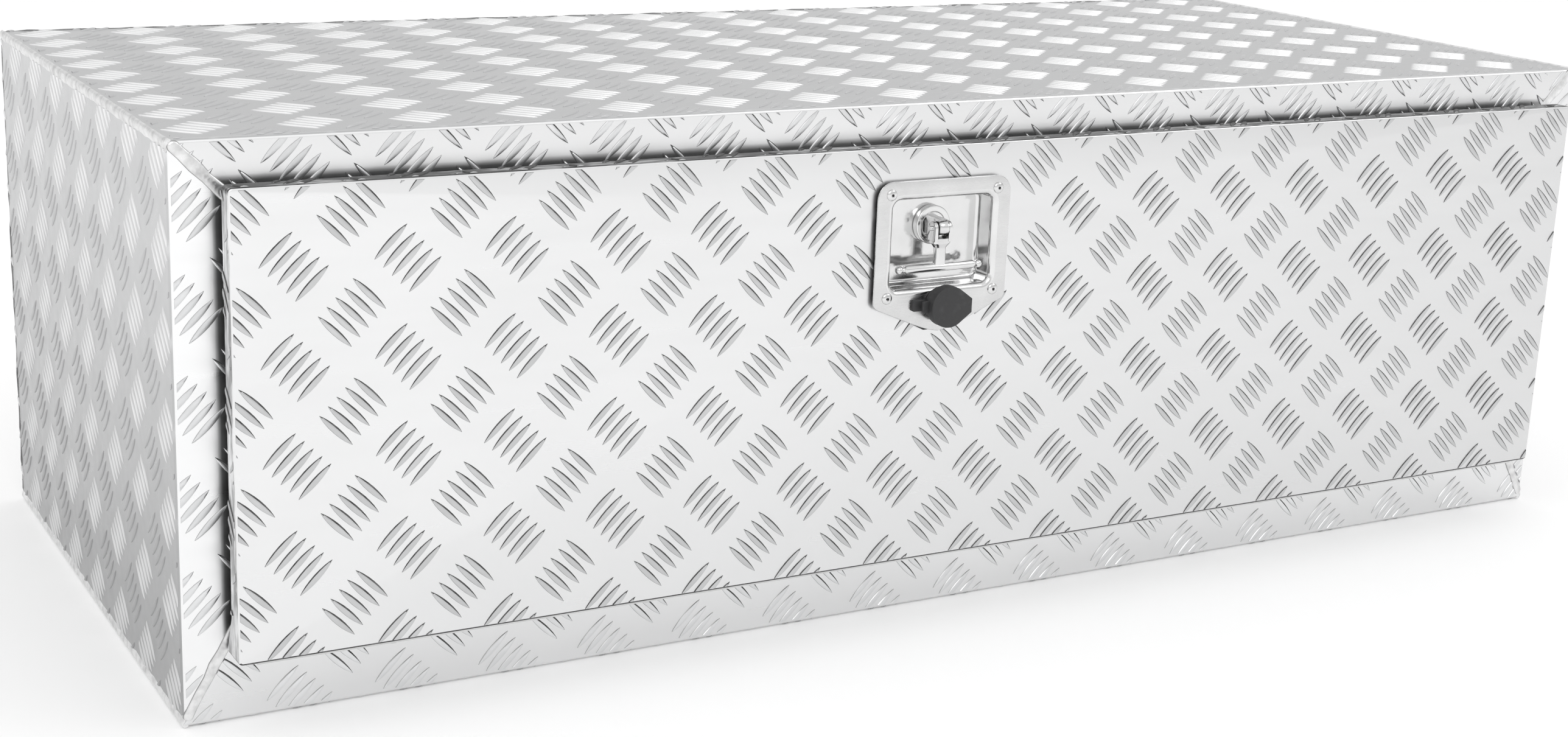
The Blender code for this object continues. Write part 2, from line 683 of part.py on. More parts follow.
def make_spindle(shop):
    """The spindle: a disc and a tongue in the recess, and a stepped shaft that carries the arm behind the door."""
    centre = (LATCH_X, SPINDLE_Z)
    floor_back = FLOOR + PLATE
    bush_end = STRIP_BACK - 0.0017
    shop.piece("spindle_bush", collar(
        "spindle_bush", floor_back + GAP, bush_end, SPINDLE_HOLE, 0.011, along_y, centre), "stainless", "door")

    disc = FLOOR - 0.0058
    arm = bush_end + 0.0012, bush_end + 0.0042
    profile = [(disc, 0.0128), (disc + 0.0012, 0.0145), (FLOOR - 0.0012, 0.0145), (FLOOR - GAP, 0.0136),
               (FLOOR - GAP, 0.0060), (arm[0] - GAP, 0.0060), (arm[0] - GAP, 0.0045), (arm[1] + 0.0105, 0.0045),
               (arm[1] + 0.0110, 0.0040)]
    spindle = shop.piece("spindle", turned("spindle", profile, along_y, centre), "stainless", "spindle")
    start, stop = Vector((disc + 0.002, SPINDLE_Z)), Vector((LATCH_PIVOT_Y, SPINDLE_Z))
    tongue = extruded("tongue", stadium(start, stop, 0.0050), along_x, LATCH_X - 0.0042, LATCH_X + 0.0042)
    shop.change(spindle, tongue, "UNION")
    shop.change(spindle, drill(along_x, [(LATCH_PIVOT_Y, SPINDLE_Z)], 0.0021, LATCH_X - 0.02, LATCH_X + 0.02))

    ends = LATCH_X - 0.0098, LATCH_X + 0.0098
    profile = [(ends[0], 0.0011), (ends[0] + 0.0005, 0.0018), (ends[1] - 0.0005, 0.0018), (ends[1], 0.0011)]
    shop.piece("handle_pin", turned(
        "handle_pin", profile, along_x, (LATCH_PIVOT_Y, SPINDLE_Z), 16), "stainless", "spindle")

    low, high = Vector((LATCH_X, SPINDLE_Z)), Vector((LATCH_X, DOORWAY_TOP - 0.0146))
    plate = shop.piece("latch_arm", extruded(
        "latch_arm", stadium(low, high, 0.012), along_y, *arm), "zinc", "spindle")
    shop.change(plate, drill(along_y, [centre], 0.0048, arm[0] - 0.005, arm[1] + 0.005, steps=24))
    washer = arm[1] + GAP, arm[1] + GAP + 0.0015
    shop.piece("arm_washer", collar(
        "arm_washer", *washer, 0.0048, 0.0095, along_y, centre), "zinc", "spindle")
    nut = shop.piece("arm_nut", extruded(
        "arm_nut", ring_points(0.0075, 6, centre), along_y, washer[1] + GAP, washer[1] + 0.0063), "zinc", "spindle")
    shop.change(nut, drill(along_y, [centre], 0.0048, washer[0], washer[1] + 0.01, steps=24))


def make_handle(shop):
    """The folding handle: two ears round the spindle's tongue, a shank, and the cross bar."""
    across = LATCH_X - 0.0075, LATCH_X + 0.0075
    pivot = Vector((LATCH_PIVOT_Y, SPINDLE_Z))
    root = Vector((LATCH_PIVOT_Y, SPINDLE_Z - 0.0090))
    handle = shop.piece("t_handle", extruded(
        "t_handle", stadium(root, pivot, HANDLE_EAR), along_x, *across), "stainless", "t_handle")
    gap = box("gap", (LATCH_X - 0.0046, LATCH_X + 0.0046), (LATCH_PIVOT_Y - 0.01, LATCH_PIVOT_Y + 0.01),
              (SPINDLE_Z - 0.0095, SPINDLE_Z + 0.01))
    shop.change(handle, gap)
    shop.change(handle, drill(along_x, [tuple(pivot)], 0.0021, across[0] - 0.005, across[1] + 0.005))

    bar_y = LATCH_PIVOT_Y - 0.0005
    thick = 0.0028
    shank = [(HANDLE_BAR_Z, bar_y, 0.0046), (HANDLE_BAR_Z + 0.008, bar_y, 0.0040),
             (SPINDLE_Z - 0.0120, LATCH_PIVOT_Y, 0.0044)]
    loops = [
        [(LATCH_X - wide, y - thick, z), (LATCH_X + wide, y - thick, z), (LATCH_X + wide, y + thick, z),
         (LATCH_X - wide, y + thick, z)]
        for z, y, wide in shank
    ]
    shop.change(handle, stacked("shank", loops), "UNION")
    half = HANDLE_HALF
    profile = [(-half, 0.0012), (-half + 0.0008, 0.0024), (-half + 0.0026, 0.0030), (0, 0.0034),
               (half - 0.0026, 0.0030), (half - 0.0008, 0.0024), (half, 0.0012)]
    bar = turned("bar", [(LATCH_X + x, r) for x, r in profile], along_x, (bar_y, HANDLE_BAR_Z), 16)
    shop.change(handle, bar, "UNION")


def make_lock(shop):
    """The lock below the handle, with its nut behind the door, its turning plug and the plug's cam."""
    centre = (LATCH_X, LOCK_Z)
    head = PLATE_FRONT - GAP
    end = DOOR_SKIN + 0.018
    front = head - 0.0052
    barrel = shop.piece("lock_barrel", turned(
        "lock_barrel", [(front, 0.0090), (front + 0.001, 0.0100), (head, 0.0100), (head, 0.0080), (end, 0.0080)],
        along_y, centre), "stainless", "door")
    shop.change(barrel, drill(along_y, [centre], 0.0058, front - 0.005, end + 0.005, steps=24))
    shop.piece("lock_nut", collar(
        "lock_nut", DOOR_SKIN + GAP, DOOR_SKIN + 0.0055, LOCK_HOLE, 0.0101, along_y, centre), "stainless", "door")

    cam = end + 0.0008, end + 0.0028
    profile = [(front + 0.0005, 0.0055), (end + 0.0004, 0.0055), (end + 0.0004, 0.0028), (cam[1] + 0.0012, 0.0028)]
    plug = shop.piece("lock_plug", turned("lock_plug", profile, along_y, centre), "stainless", "lock_plug")
    shop.change(plug, box("keyway", (LATCH_X - 0.0007, LATCH_X + 0.0007), (front - 0.002, front + 0.006),
                          (LOCK_Z - 0.0038, LOCK_Z + 0.0038)))
    tongue = shop.piece("lock_cam", extruded(
        "lock_cam", stadium(Vector(centre), Vector((LATCH_X, LOCK_Z + 0.019)), 0.0055), along_y, *cam),
        "zinc", "lock_plug")
    shop.change(tongue, drill(along_y, [centre], 0.0031, cam[0] - 0.005, cam[1] + 0.005))


def make_cover(shop):
    """The rubber ring round the lock, and the flap that swings on its strap at the left."""
    centre = (LATCH_X, LOCK_Z)
    base = PLATE_FRONT - GAP
    ring = shop.piece("cover_ring", extruded(
        "cover_ring", ring_points(0.0130, 24, centre), along_y, base - 0.0036, base), "rubber", "door")
    shop.change(ring, box("root", (LATCH_X - 0.0250, LATCH_X - 0.0120), (base - 0.0030, base - 0.0001),
                          (LOCK_Z - 0.0041, LOCK_Z + 0.0041)), "UNION")
    shop.change(ring, drill(along_y, [centre], 0.0103, base - 0.01, base + 0.01, steps=24))

    radius, end, tall = COVER_RADIUS, COVER_TAB, 0.0052
    touch = math.atan2(tall, end) + math.acos(radius / math.hypot(end, tall))
    steps = 18
    outline = [(LATCH_X + end, LOCK_Z - tall), (LATCH_X + end, LOCK_Z + tall)]
    for i in range(steps + 1):
        angle = touch + (math.tau - 2 * touch) * i / steps
        outline.append((LATCH_X + radius * math.cos(angle), LOCK_Z + radius * math.sin(angle)))
    back = PLATE_FRONT - 0.0062
    flap = shop.piece("lock_cover", extruded(
        "lock_cover", outline, along_y, back - 0.0085, back), "rubber", "lock_cover")
    shop.change(flap, box("strap_neck", (COVER_AXIS[0], LATCH_X - 0.012), (back - 0.0030, back - 0.0004),
                          (LOCK_Z - 0.0045, LOCK_Z + 0.0045)), "UNION")


# ---------------------------------------------------------------- assembly


def main():
    for old in list(bpy.data.objects):
        bpy.data.objects.remove(old)
    shop = Workshop()
    pivot = at_hinge_radius(PIVOT_ANGLE)
    shop.body("door", HINGE)
    shop.body("stay_left", (-STAY_X, *pivot), "door")
    shop.body("stay_right", (STAY_X, *pivot), "door")
    shop.body("spindle", (LATCH_X, FLOOR, SPINDLE_Z), "door")
    shop.body("t_handle", (LATCH_X, LATCH_PIVOT_Y, SPINDLE_Z), "spindle")
    shop.body("lock_plug", (LATCH_X, FLOOR, LOCK_Z), "door")
    shop.body("lock_cover", (*COVER_AXIS, LOCK_Z), "door")

    make_case(shop)
    make_seal(shop)
    make_door(shop)
    make_hinge(shop)
    make_hinge_rivets(shop)
    make_stay(shop, -1, "left")
    make_stay(shop, 1, "right")
    make_dish(shop)
    make_spindle(shop)
    make_handle(shop)
    make_lock(shop)
    make_cover(shop)


main()
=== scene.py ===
"""The looks of an underbody truck tool box in tread plate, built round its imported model.

Metres, +Z up. X runs along the box, the door faces -Y, and the origin is on the bottom face, at its middle.
Each piece is a surface worked out on a grid, or a section carried along a path, placed from the model's
boxes.
"""

import math

import bmesh
import bpy
import numpy as np
from bpy.props import FloatProperty, FloatVectorProperty, IntProperty, PointerProperty
from mathutils import Matrix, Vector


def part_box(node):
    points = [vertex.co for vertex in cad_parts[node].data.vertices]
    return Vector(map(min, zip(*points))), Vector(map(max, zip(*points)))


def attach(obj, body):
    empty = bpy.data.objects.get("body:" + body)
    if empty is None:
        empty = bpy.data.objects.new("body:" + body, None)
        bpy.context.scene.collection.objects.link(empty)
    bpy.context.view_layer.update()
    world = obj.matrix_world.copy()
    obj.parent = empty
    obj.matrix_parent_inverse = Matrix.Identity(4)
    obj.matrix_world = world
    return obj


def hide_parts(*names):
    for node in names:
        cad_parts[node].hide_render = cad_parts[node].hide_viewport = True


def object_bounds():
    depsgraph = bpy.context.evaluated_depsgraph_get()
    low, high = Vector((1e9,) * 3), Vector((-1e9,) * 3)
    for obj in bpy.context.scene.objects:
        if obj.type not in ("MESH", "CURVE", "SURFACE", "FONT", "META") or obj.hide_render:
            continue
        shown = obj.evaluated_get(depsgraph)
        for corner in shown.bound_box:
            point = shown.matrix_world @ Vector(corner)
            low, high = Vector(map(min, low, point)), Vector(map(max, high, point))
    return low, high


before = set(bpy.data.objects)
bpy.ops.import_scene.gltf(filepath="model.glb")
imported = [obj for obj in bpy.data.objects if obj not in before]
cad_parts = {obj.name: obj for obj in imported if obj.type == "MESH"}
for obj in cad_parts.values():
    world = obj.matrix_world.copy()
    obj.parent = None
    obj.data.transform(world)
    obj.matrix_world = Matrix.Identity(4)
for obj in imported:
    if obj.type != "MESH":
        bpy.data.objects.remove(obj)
CAD_BOX = [list(corner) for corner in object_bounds()]

bl_info = {
    "name": "Truck Tool Box",
    "version": (1, 0, 0),
    "blender": (4, 5, 0),
    "location": "3D View > Sidebar > Tool Box",
    "description": "Tread plate, welds, latch and finishes of an underbody truck tool box",
    "category": "Object",
}

MM = 0.001

# Places read from the model
SIDE = -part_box("left_panel")[0].x
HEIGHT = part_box("top_panel")[1].z
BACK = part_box("back_panel")[1].y
FRONT = -BACK
LIP_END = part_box("top_panel")[0].y
DOOR_LOW, DOOR_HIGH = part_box("door_pan")
DISH_LOW, DISH_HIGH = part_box("latch_dish")
SHAFT_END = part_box("spindle")[1].y
HANDLE_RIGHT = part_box("t_handle")[1].x
COVER_LOW, COVER_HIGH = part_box("lock_cover")
COVER_RING_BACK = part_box("cover_ring")[1].y
LATCH_X = (DISH_LOW.x + DISH_HIGH.x) / 2
SPINDLE_Z = (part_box("arm_washer")[0].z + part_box("arm_washer")[1].z) / 2
LOCK_Z = (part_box("lock_nut")[0].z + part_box("lock_nut")[1].z) / 2
PLATE_FRONT = DISH_LOW.y

# Sheet metal
SHEET = 3.2 * MM  # plate and bars together
BAR_RISE = 1.0 * MM  # bars over the plate's face
PLATE = SHEET - BAR_RISE
FOLD = 0.5 * MM  # inner radius of the folds
FOLD_STEPS = 5
OUTER_FOLD = FOLD + SHEET  # from a corner to the end of its outer round
FACE_Y = FRONT + BAR_RISE  # the plate's face on the front strips
MIDDLE = SHEET - PLATE / 2  # from a face over its bars to the middle of the plate
SEAM = 0.3 * MM  # gap between panels along their mitres
EDGE_CLEAR = 7 * MM  # plain margin of a face along its welded edges
STRIP_CLEAR = 4.5 * MM  # the same along the mitres of the top and bottom strips
LOW_WELD_CLEAR = 9 * MM  # and above the lower mitres on the side strips
STRIP = 43.2 * MM
BOTTOM_STRIP = 75.6 * MM
DOORWAY_X = SIDE - STRIP
DOORWAY_TOP = HEIGHT - STRIP
LOWER_RISE = (BOTTOM_STRIP - SHEET) / (STRIP - SHEET)  # slope of the lower mitres
RETURN = 14.5 * MM  # depth of the door's side and top returns

# Tread: the pitch of like groups on each face, and the middle of one group that points upwards to the right
DOOR_FIRST = (-SIDE + 72 * MM, 0.2475)
TOP_PITCH, TOP_FIRST = (75.4 * MM, 56 * MM), (-0.4677, -0.133)
TOP_STRIP_PITCH_UP, TOP_STRIP_FIRST = 50 * MM, (-0.5266, 0.3744)
BOTTOM_FIRST = (0.01, 0.02)
BOTTOM_STRIP_FIRST = (-0.5296, 0.0095)
SIDE_PITCH, SIDE_FIRST = (72 * MM, 60 * MM), (0.198, 0.3505)
SIDE_STRIP_FIRST = (-0.598, 0.2845)
BACK_FIRST = (0.02, 0.180)

# Latch
DISH_SHEET = 1.5 * MM
RECESS_WIDTH = 85.2 * MM
RECESS_BOTTOM = 261.4 * MM
RECESS_TOP = 327.6 * MM
RECESS_DEPTH = 20 * MM
FLOOR_Y = PLATE_FRONT + RECESS_DEPTH
PIVOT_Y = PLATE_FRONT + 4.5 * MM
BAR_Y = PIVOT_Y - 0.5 * MM
BAR_Z = 275.5 * MM


# ---------------------------------------------------------------- settings


class TreadSettings(bpy.types.PropertyGroup):
    """Sizes and colours of the tread plate."""

    pitch_across: FloatProperty(
        name="Pitch across", description="Distance between like groups of bars, across the door",
        default=75.4 * MM, min=0.02, unit="LENGTH")
    pitch_up: FloatProperty(
        name="Pitch up", description="Distance between like groups of bars, up the door",
        default=66 * MM, min=0.02, unit="LENGTH")
    bar_length: FloatProperty(
        name="Bar length", description="Length of one raised bar, point to point",
        default=31 * MM, min=0.005, unit="LENGTH")
    bar_width: FloatProperty(
        name="Bar width", description="Width of one raised bar at its middle",
        default=5.0 * MM, min=0.001, unit="LENGTH")
    bar_step: FloatProperty(
        name="Bar step", description="Distance between neighbouring bars of a group",
        default=8.2 * MM, min=0.002, unit="LENGTH")
    plate_colour: FloatVectorProperty(
        name="Plate", description="Colour of the plate between the bars", subtype="COLOR",
        default=(0.90, 0.902, 0.905), min=0, max=1)
    # Painted shade: the front's bars are a darker copy of the plate between them
    bar_colour: FloatVectorProperty(
        name="Bars", description="Colour of the bars' crowns on the front", subtype="COLOR",
        default=(0.55, 0.553, 0.557), min=0, max=1)
    # Painted shade: the top, the sides and the back take a darker copy of the front's plate
    shaded_plate_colour: FloatVectorProperty(
        name="Shaded plate", description="Colour of the plate on the top, the sides and the back",
        subtype="COLOR", default=(0.61, 0.613, 0.617), min=0, max=1)
    # Painted sheen: the bars that take it on the top, the sides and the back are made this bright
    sheen_bar_colour: FloatVectorProperty(
        name="Sheen bars", description="Colour of the bars where they are rubbed bright", subtype="COLOR",
        default=(0.93, 0.932, 0.935), min=0, max=1)


class MetalSettings(bpy.types.PropertyGroup):
    """Colours of the welds, the latch and the fittings."""

    weld_colour: FloatVectorProperty(
        name="Weld", description="Colour of the weld beads", subtype="COLOR",
        default=(0.72, 0.72, 0.72), min=0, max=1)
    stainless_colour: FloatVectorProperty(
        name="Stainless", description="Colour of the latch", subtype="COLOR",
        default=(0.66, 0.66, 0.66), min=0, max=1)
    rubber_colour: FloatVectorProperty(
        name="Rubber", description="Colour of the cover, the gasket and the seal", subtype="COLOR",
        default=(0.030, 0.030, 0.031), min=0, max=1)
    round_steps: IntProperty(
        name="Steps round", description="Faces round a turned piece", default=64, min=12, max=128)


class StageSettings(bpy.types.PropertyGroup):
    """Floor, lights and camera."""

    floor_colour: FloatVectorProperty(
        name="Floor", description="Colour of the floor", subtype="COLOR",
        default=(0.93, 0.93, 0.93), min=0, max=1)
    floor_glow: FloatProperty(
        name="Floor glow", description="Light that the floor adds, which keeps it white",
        default=0.14, min=0)
    sky_light: FloatProperty(
        name="Surroundings", description="Strength of the surroundings", default=1.06, min=0)
    haze: FloatProperty(
        name="Low band", description="Share of that strength left in a band just above the horizon",
        default=0.66, min=0, max=1)
    lens: FloatProperty(
        name="Lens", description="Focal length in millimetres", default=53.21, min=10)


# ---------------------------------------------------------------- finishes


class Finish:
    """A Principled material whose nodes are added one by one."""

    def __init__(self, name, colour, roughness, metallic=1.0):
        self.material = bpy.data.materials.new(name)
        self.material.use_nodes = True
        self.tree = self.material.node_tree
        self.shader = self.tree.nodes["Principled BSDF"]
        self.shader.inputs["Base Color"].default_value = (*colour, 1)
        self.shader.inputs["Roughness"].default_value = roughness
        self.shader.inputs["Metallic"].default_value = metallic
        self.material.diffuse_color = (*colour, 1)
        self.object = self.node("ShaderNodeTexCoord").outputs["Object"]
        self.x, self.y, self.z = self.node("ShaderNodeSeparateXYZ", Vector=self.object).outputs

    def node(self, kind, settings=None, **sockets):
        """A node with its settings, and its sockets set or linked; a leading i_ counts inputs."""
        node = self.tree.nodes.new(kind)
        for key, value in (settings or {}).items():
            setattr(node, key, value)
        for key, value in sockets.items():
            socket = node.inputs[int(key[2:]) if key.startswith("i_") else key.replace("_", " ")]
            if isinstance(value, bpy.types.NodeSocket):
                self.tree.links.new(value, socket)
            else:
                socket.default_value = value
        return node

    def noise(self, scale, detail=3.0, stretch=(1, 1, 1), roughness=0.5):
        """Noise of so many cycles a metre, drawn out along some axes."""
        place = self.node("ShaderNodeMapping", Vector=self.object, Scale=stretch)
        return self.node(
            "ShaderNodeTexNoise", Vector=place.outputs[0], Scale=scale, Detail=detail,
            Roughness=roughness).outputs["Fac"]

    def math(self, operation, *values):
        """The result of one arithmetic operation."""
        sockets = {f"i_{i}": value for i, value in enumerate(values)}
        return self.node("ShaderNodeMath", {"operation": operation}, **sockets).outputs[0]

    def crest(self):
        """The height that each point of a bar or bead carries: 0 at its foot, 1 on its crown."""
        return self.node("ShaderNodeAttribute", {"attribute_name": "crest"}).outputs["Fac"]

    def ramp(self, value, low, high, out_low=0.0, out_high=1.0):
        """A value carried from one range to another, and held at its ends."""
        return self.node(
            "ShaderNodeMapRange", Value=value, From_Min=low, From_Max=high, To_Min=out_low,
            To_Max=out_high).outputs[0]

    def blend(self, share, one, other):
        """A mix of two colours."""
        one, other = [(*c, 1) if isinstance(c, tuple) and len(c) == 3 else c for c in (one, other)]
        node = self.node("ShaderNodeMix", {"data_type": "RGBA"}, i_0=share, i_6=one, i_7=other)
        return node.outputs[2]

    def bump(self, height, distance, strength=0.5, under=None):
        """A relief, laid over another where one is given."""
        sockets = {"Height": height, "Distance": distance, "Strength": strength}
        if under is not None:
            sockets["Normal"] = under
        return self.node("ShaderNodeBump", **sockets).outputs[0]

    def connect(self, **sockets):
        """Links outputs to the shader's sockets."""
        for key, value in sockets.items():
            self.tree.links.new(value, self.shader.inputs[key.replace("_", " ")])
        return self.material


def shade(colour, factor):
    """A colour made lighter or darker."""
    return tuple(min(1.0, c * factor) for c in colour)


def sheen_patches(finish, a, b, first, pitch):
    """A painted sheen on the plate round each falling group of bars: 1 inside a tilted oblong, 0 outside.

    With u and v the distances from the nearest group's centre, |u - v| and |u + v| stay under two limits.
    """
    u, v = (
        finish.math("WRAP", finish.math("SUBTRACT", axis, start + step / 2), step / 2, -step / 2)
        for axis, start, step in zip((a, b), first, pitch))
    along = finish.math("ABSOLUTE", finish.math("SUBTRACT", u, v))
    across = finish.math("ABSOLUTE", finish.math("ADD", u, v))
    soft_edge = 6 * MM
    inside = [
        finish.ramp(span, edge, edge - soft_edge) for span, edge in ((along, 22 * MM), (across, 28 * MM))]
    return finish.math("MULTIPLY", *inside)


def plate_finish(name, colour, shade_along_box=1.0, low_shade=1.0, door_shadow_shade=1.0, lattice=None):
    """Mill-finished plate: faint rolling lines and soft cloudy patches.

    Painted shade darkens its tone along the box, or towards the floor; a painted shadow darkens it where the
    door's edge covers it, and a painted sheen brightens it round each falling group of bars.
    """
    finish = Finish(name, colour, 0.30)
    cloud = finish.noise(7.0, 4.0)
    lines = finish.noise(90.0, 2.0, (0.06, 1.0, 1.0))
    grain = finish.noise(900.0, 2.0)
    tone = finish.blend(finish.ramp(cloud, 0.3, 0.7), shade(colour, 0.965), colour)
    gloss = finish.ramp(lines, 0.25, 0.75, 0.26, 0.36)
    relief = finish.bump(grain, 0.00005, 0.25)
    x, y, z = finish.x, finish.y, finish.z
    if lattice:
        kind, first, pitch = lattice
        rightward = finish.math("MULTIPLY", y, finish.math("SIGN", x))
        a, b = (x, y) if kind == "top" else (rightward, z)
        # Painted sheen: the plate is lightened round each falling group of bars
        patch = sheen_patches(finish, a, b, first, pitch)
        tone = finish.blend(finish.ramp(patch, 0, 1, 0, 0.75), tone, shade(colour, 1.32))
    # Painted shade: the tone darkens from the left of the box towards its right end
    if shade_along_box < 1:
        tone = finish.blend(finish.ramp(x, -0.50, SIDE), tone, shade(colour, shade_along_box))
    # Painted shade: the tone darkens from the top down to the floor
    if low_shade < 1:
        tone = finish.blend(finish.ramp(z, HEIGHT, 0), tone, shade(colour, low_shade))
    # Painted shadow: the strips are darkened round the doorway, where the door's edge covers them
    if door_shadow_shade < 1:
        door_shadow = finish.ramp(finish.math("ABSOLUTE", x), DOOR_HIGH.x + 1.5 * MM, DOOR_HIGH.x - 1.5 * MM)
        for value, start, stop in (
            (z, DOOR_HIGH.z + 2 * MM, DOOR_HIGH.z - 2 * MM),
            (z, DOOR_LOW.z - 1 * MM, DOOR_LOW.z + 3 * MM),
            (y, FRONT - 4 * MM, FRONT - 2 * MM),
        ):
            door_shadow = finish.math("MULTIPLY", door_shadow, finish.ramp(value, start, stop))
        tone = finish.blend(door_shadow, tone, shade(colour, door_shadow_shade))
    return finish.connect(Base_Color=tone, Roughness=gloss, Normal=relief)


def return_finish(name, colour):
    """The door's cut returns: painted reflections as bright and dark streaks along their length, and painted
    shade along the top one.
    """
    finish = Finish(name, colour, 0.34)
    streaks = finish.noise(95.0, 3.0, (0.30, 1.6, 0.30), 0.6)
    # Painted reflections: dark and bright streaks along the returns
    tone = finish.blend(finish.ramp(streaks, 0.42, 0.60), shade(colour, 0.42), colour)
    # Painted shade: the top return is darkened
    top_return_shade = finish.blend(finish.ramp(streaks, 0.50, 0.64), shade(colour, 0.10), shade(colour, 0.55))
    tone = finish.blend(finish.ramp(finish.z, DOOR_HIGH.z - 6 * MM, DOOR_HIGH.z - 3 * MM), tone, top_return_shade)
    return finish.connect(
        Base_Color=tone, Roughness=finish.ramp(streaks, 0.3, 0.7, 0.44, 0.26),
        Normal=finish.bump(streaks, 0.0004, 0.4))


def bar_finish(name, colour, foot_shade, low_shade=1.0):
    """Raised bars: painted shade at the foot, a satin side, a crown worn bright in places, and painted shade
    towards the floor where low_shade is below 1.
    """
    finish = Finish(name, colour, 0.34)
    wear = finish.noise(38.0, 4.0)
    worn = finish.blend(finish.ramp(wear, 0.45, 0.75), colour, shade(colour, 1.10))
    # Painted shade: the foot of each bar is darkened, where the bar meets the plate
    tone = finish.blend(finish.ramp(finish.crest(), -0.05, 0.42), shade(colour, foot_shade), worn)
    # Painted shade: the bars darken from the top down to the floor
    if low_shade < 1:
        tone = finish.blend(finish.ramp(finish.z, HEIGHT, 0), tone, shade(colour, low_shade))
    grain = finish.noise(1400.0, 2.0)
    return finish.connect(
        Base_Color=tone, Roughness=finish.ramp(wear, 0.3, 0.7, 0.42, 0.30),
        Normal=finish.bump(grain, 0.00004, 0.3))


def edge_shade_finish():
    """Painted shade along the bars' upper edges and the door's lower fold: nearly black, rough and uneven."""
    colour = (0.06, 0.06, 0.06)
    finish = Finish("painted_edge_shade", colour, 0.6, 0.6)
    patches = finish.noise(240.0, 4.0)
    tone = finish.blend(finish.ramp(patches, 0.35, 0.75), colour, shade(colour, 3.2))
    return finish.connect(
        Base_Color=tone, Roughness=finish.ramp(patches, 0.3, 0.7, 0.5, 0.75),
        Normal=finish.bump(patches, 0.00008, 0.4))


def sheet_finish(name, colour, rough=0.40):
    """Plain aluminium sheet with faint rolling lines and handling marks."""
    finish = Finish(name, colour, rough)
    cloud = finish.noise(11.0, 5.0)
    lines = finish.noise(160.0, 2.0, (0.04, 1.0, 1.0))
    marks = finish.noise(55.0, 6.0, (1.0, 0.5, 1.3), 0.7)
    tone = finish.blend(finish.ramp(cloud, 0.3, 0.7), shade(colour, 0.9), colour)
    tone = finish.blend(finish.ramp(marks, 0.62, 0.75, 0.0, 0.35), tone, shade(colour, 0.72))
    return finish.connect(
        Base_Color=tone, Roughness=finish.ramp(lines, 0.25, 0.75, rough - 0.07, rough + 0.08),
        Normal=finish.bump(lines, 0.00006, 0.3))


def weld_finish(settings):
    """Bright weld metal with fine ripples, a slight haze of soot, and painted shade along the bead's toes."""
    colour = tuple(settings.weld_colour)
    finish = Finish("weld_metal", colour, 0.36)
    ripple = finish.noise(420.0, 3.0)
    soot = finish.noise(130.0, 5.0)
    tone = finish.blend(finish.ramp(soot, 0.42, 0.70), shade(colour, 1.12), shade(colour, 0.84))
    # Painted shade: the bead darkens along its toes, where it meets the plate
    tone = finish.blend(finish.ramp(finish.crest(), 0.30, 0.62), shade(colour, 0.45), tone)
    return finish.connect(
        Base_Color=tone, Roughness=finish.ramp(soot, 0.3, 0.7, 0.26, 0.46),
        Normal=finish.bump(ripple, 0.00025, 0.5))


def steel_finish(name, colour, rough, line=(0.05, 1.0, 1.0), polish=0.06):
    """Brushed or polished steel: fine lines along one axis, with slight clouds in the gloss."""
    finish = Finish(name, colour, rough)
    lines = finish.noise(1300.0, 2.0, line)
    cloud = finish.noise(45.0, 3.0)
    tone = finish.blend(finish.ramp(cloud, 0.3, 0.7), shade(colour, 0.94), shade(colour, 1.04))
    return finish.connect(
        Base_Color=tone, Roughness=finish.ramp(lines, 0.3, 0.7, rough - polish, rough + polish),
        Normal=finish.bump(lines, 0.00003, 0.25))


def zinc_finish():
    """Zinc plate: a satin grey with faint spangle and fingermarks."""
    colour = (0.60, 0.615, 0.63)
    finish = Finish("zinc_plate", colour, 0.38)
    spangle = finish.node(
        "ShaderNodeTexVoronoi", Vector=finish.object, Scale=260.0).outputs["Color"]
    grey = finish.node("ShaderNodeRGBToBW", Color=spangle).outputs[0]
    cloud = finish.noise(60.0, 4.0)
    tone = finish.blend(finish.ramp(grey, 0.2, 0.8, 0.2, 0.8), shade(colour, 0.90), shade(colour, 1.07))
    return finish.connect(
        Base_Color=tone, Roughness=finish.ramp(cloud, 0.3, 0.7, 0.30, 0.46),
        Normal=finish.bump(grey, 0.00004, 0.2))


def rubber_finish(settings):
    """Moulded rubber: a fine grain, a little dust, and slightly paler worn patches."""
    colour = tuple(settings.rubber_colour)
    finish = Finish("black_rubber", colour, 0.55, 0.0)
    finish.shader.inputs["Specular IOR Level"].default_value = 0.45
    grain = finish.noise(1800.0, 3.0)
    dust = finish.noise(120.0, 5.0)
    tone = finish.blend(finish.ramp(dust, 0.5, 0.8), colour, shade(colour, 1.9))
    return finish.connect(
        Base_Color=tone, Roughness=finish.ramp(dust, 0.3, 0.7, 0.48, 0.66),
        Normal=finish.bump(grain, 0.00008, 0.4))


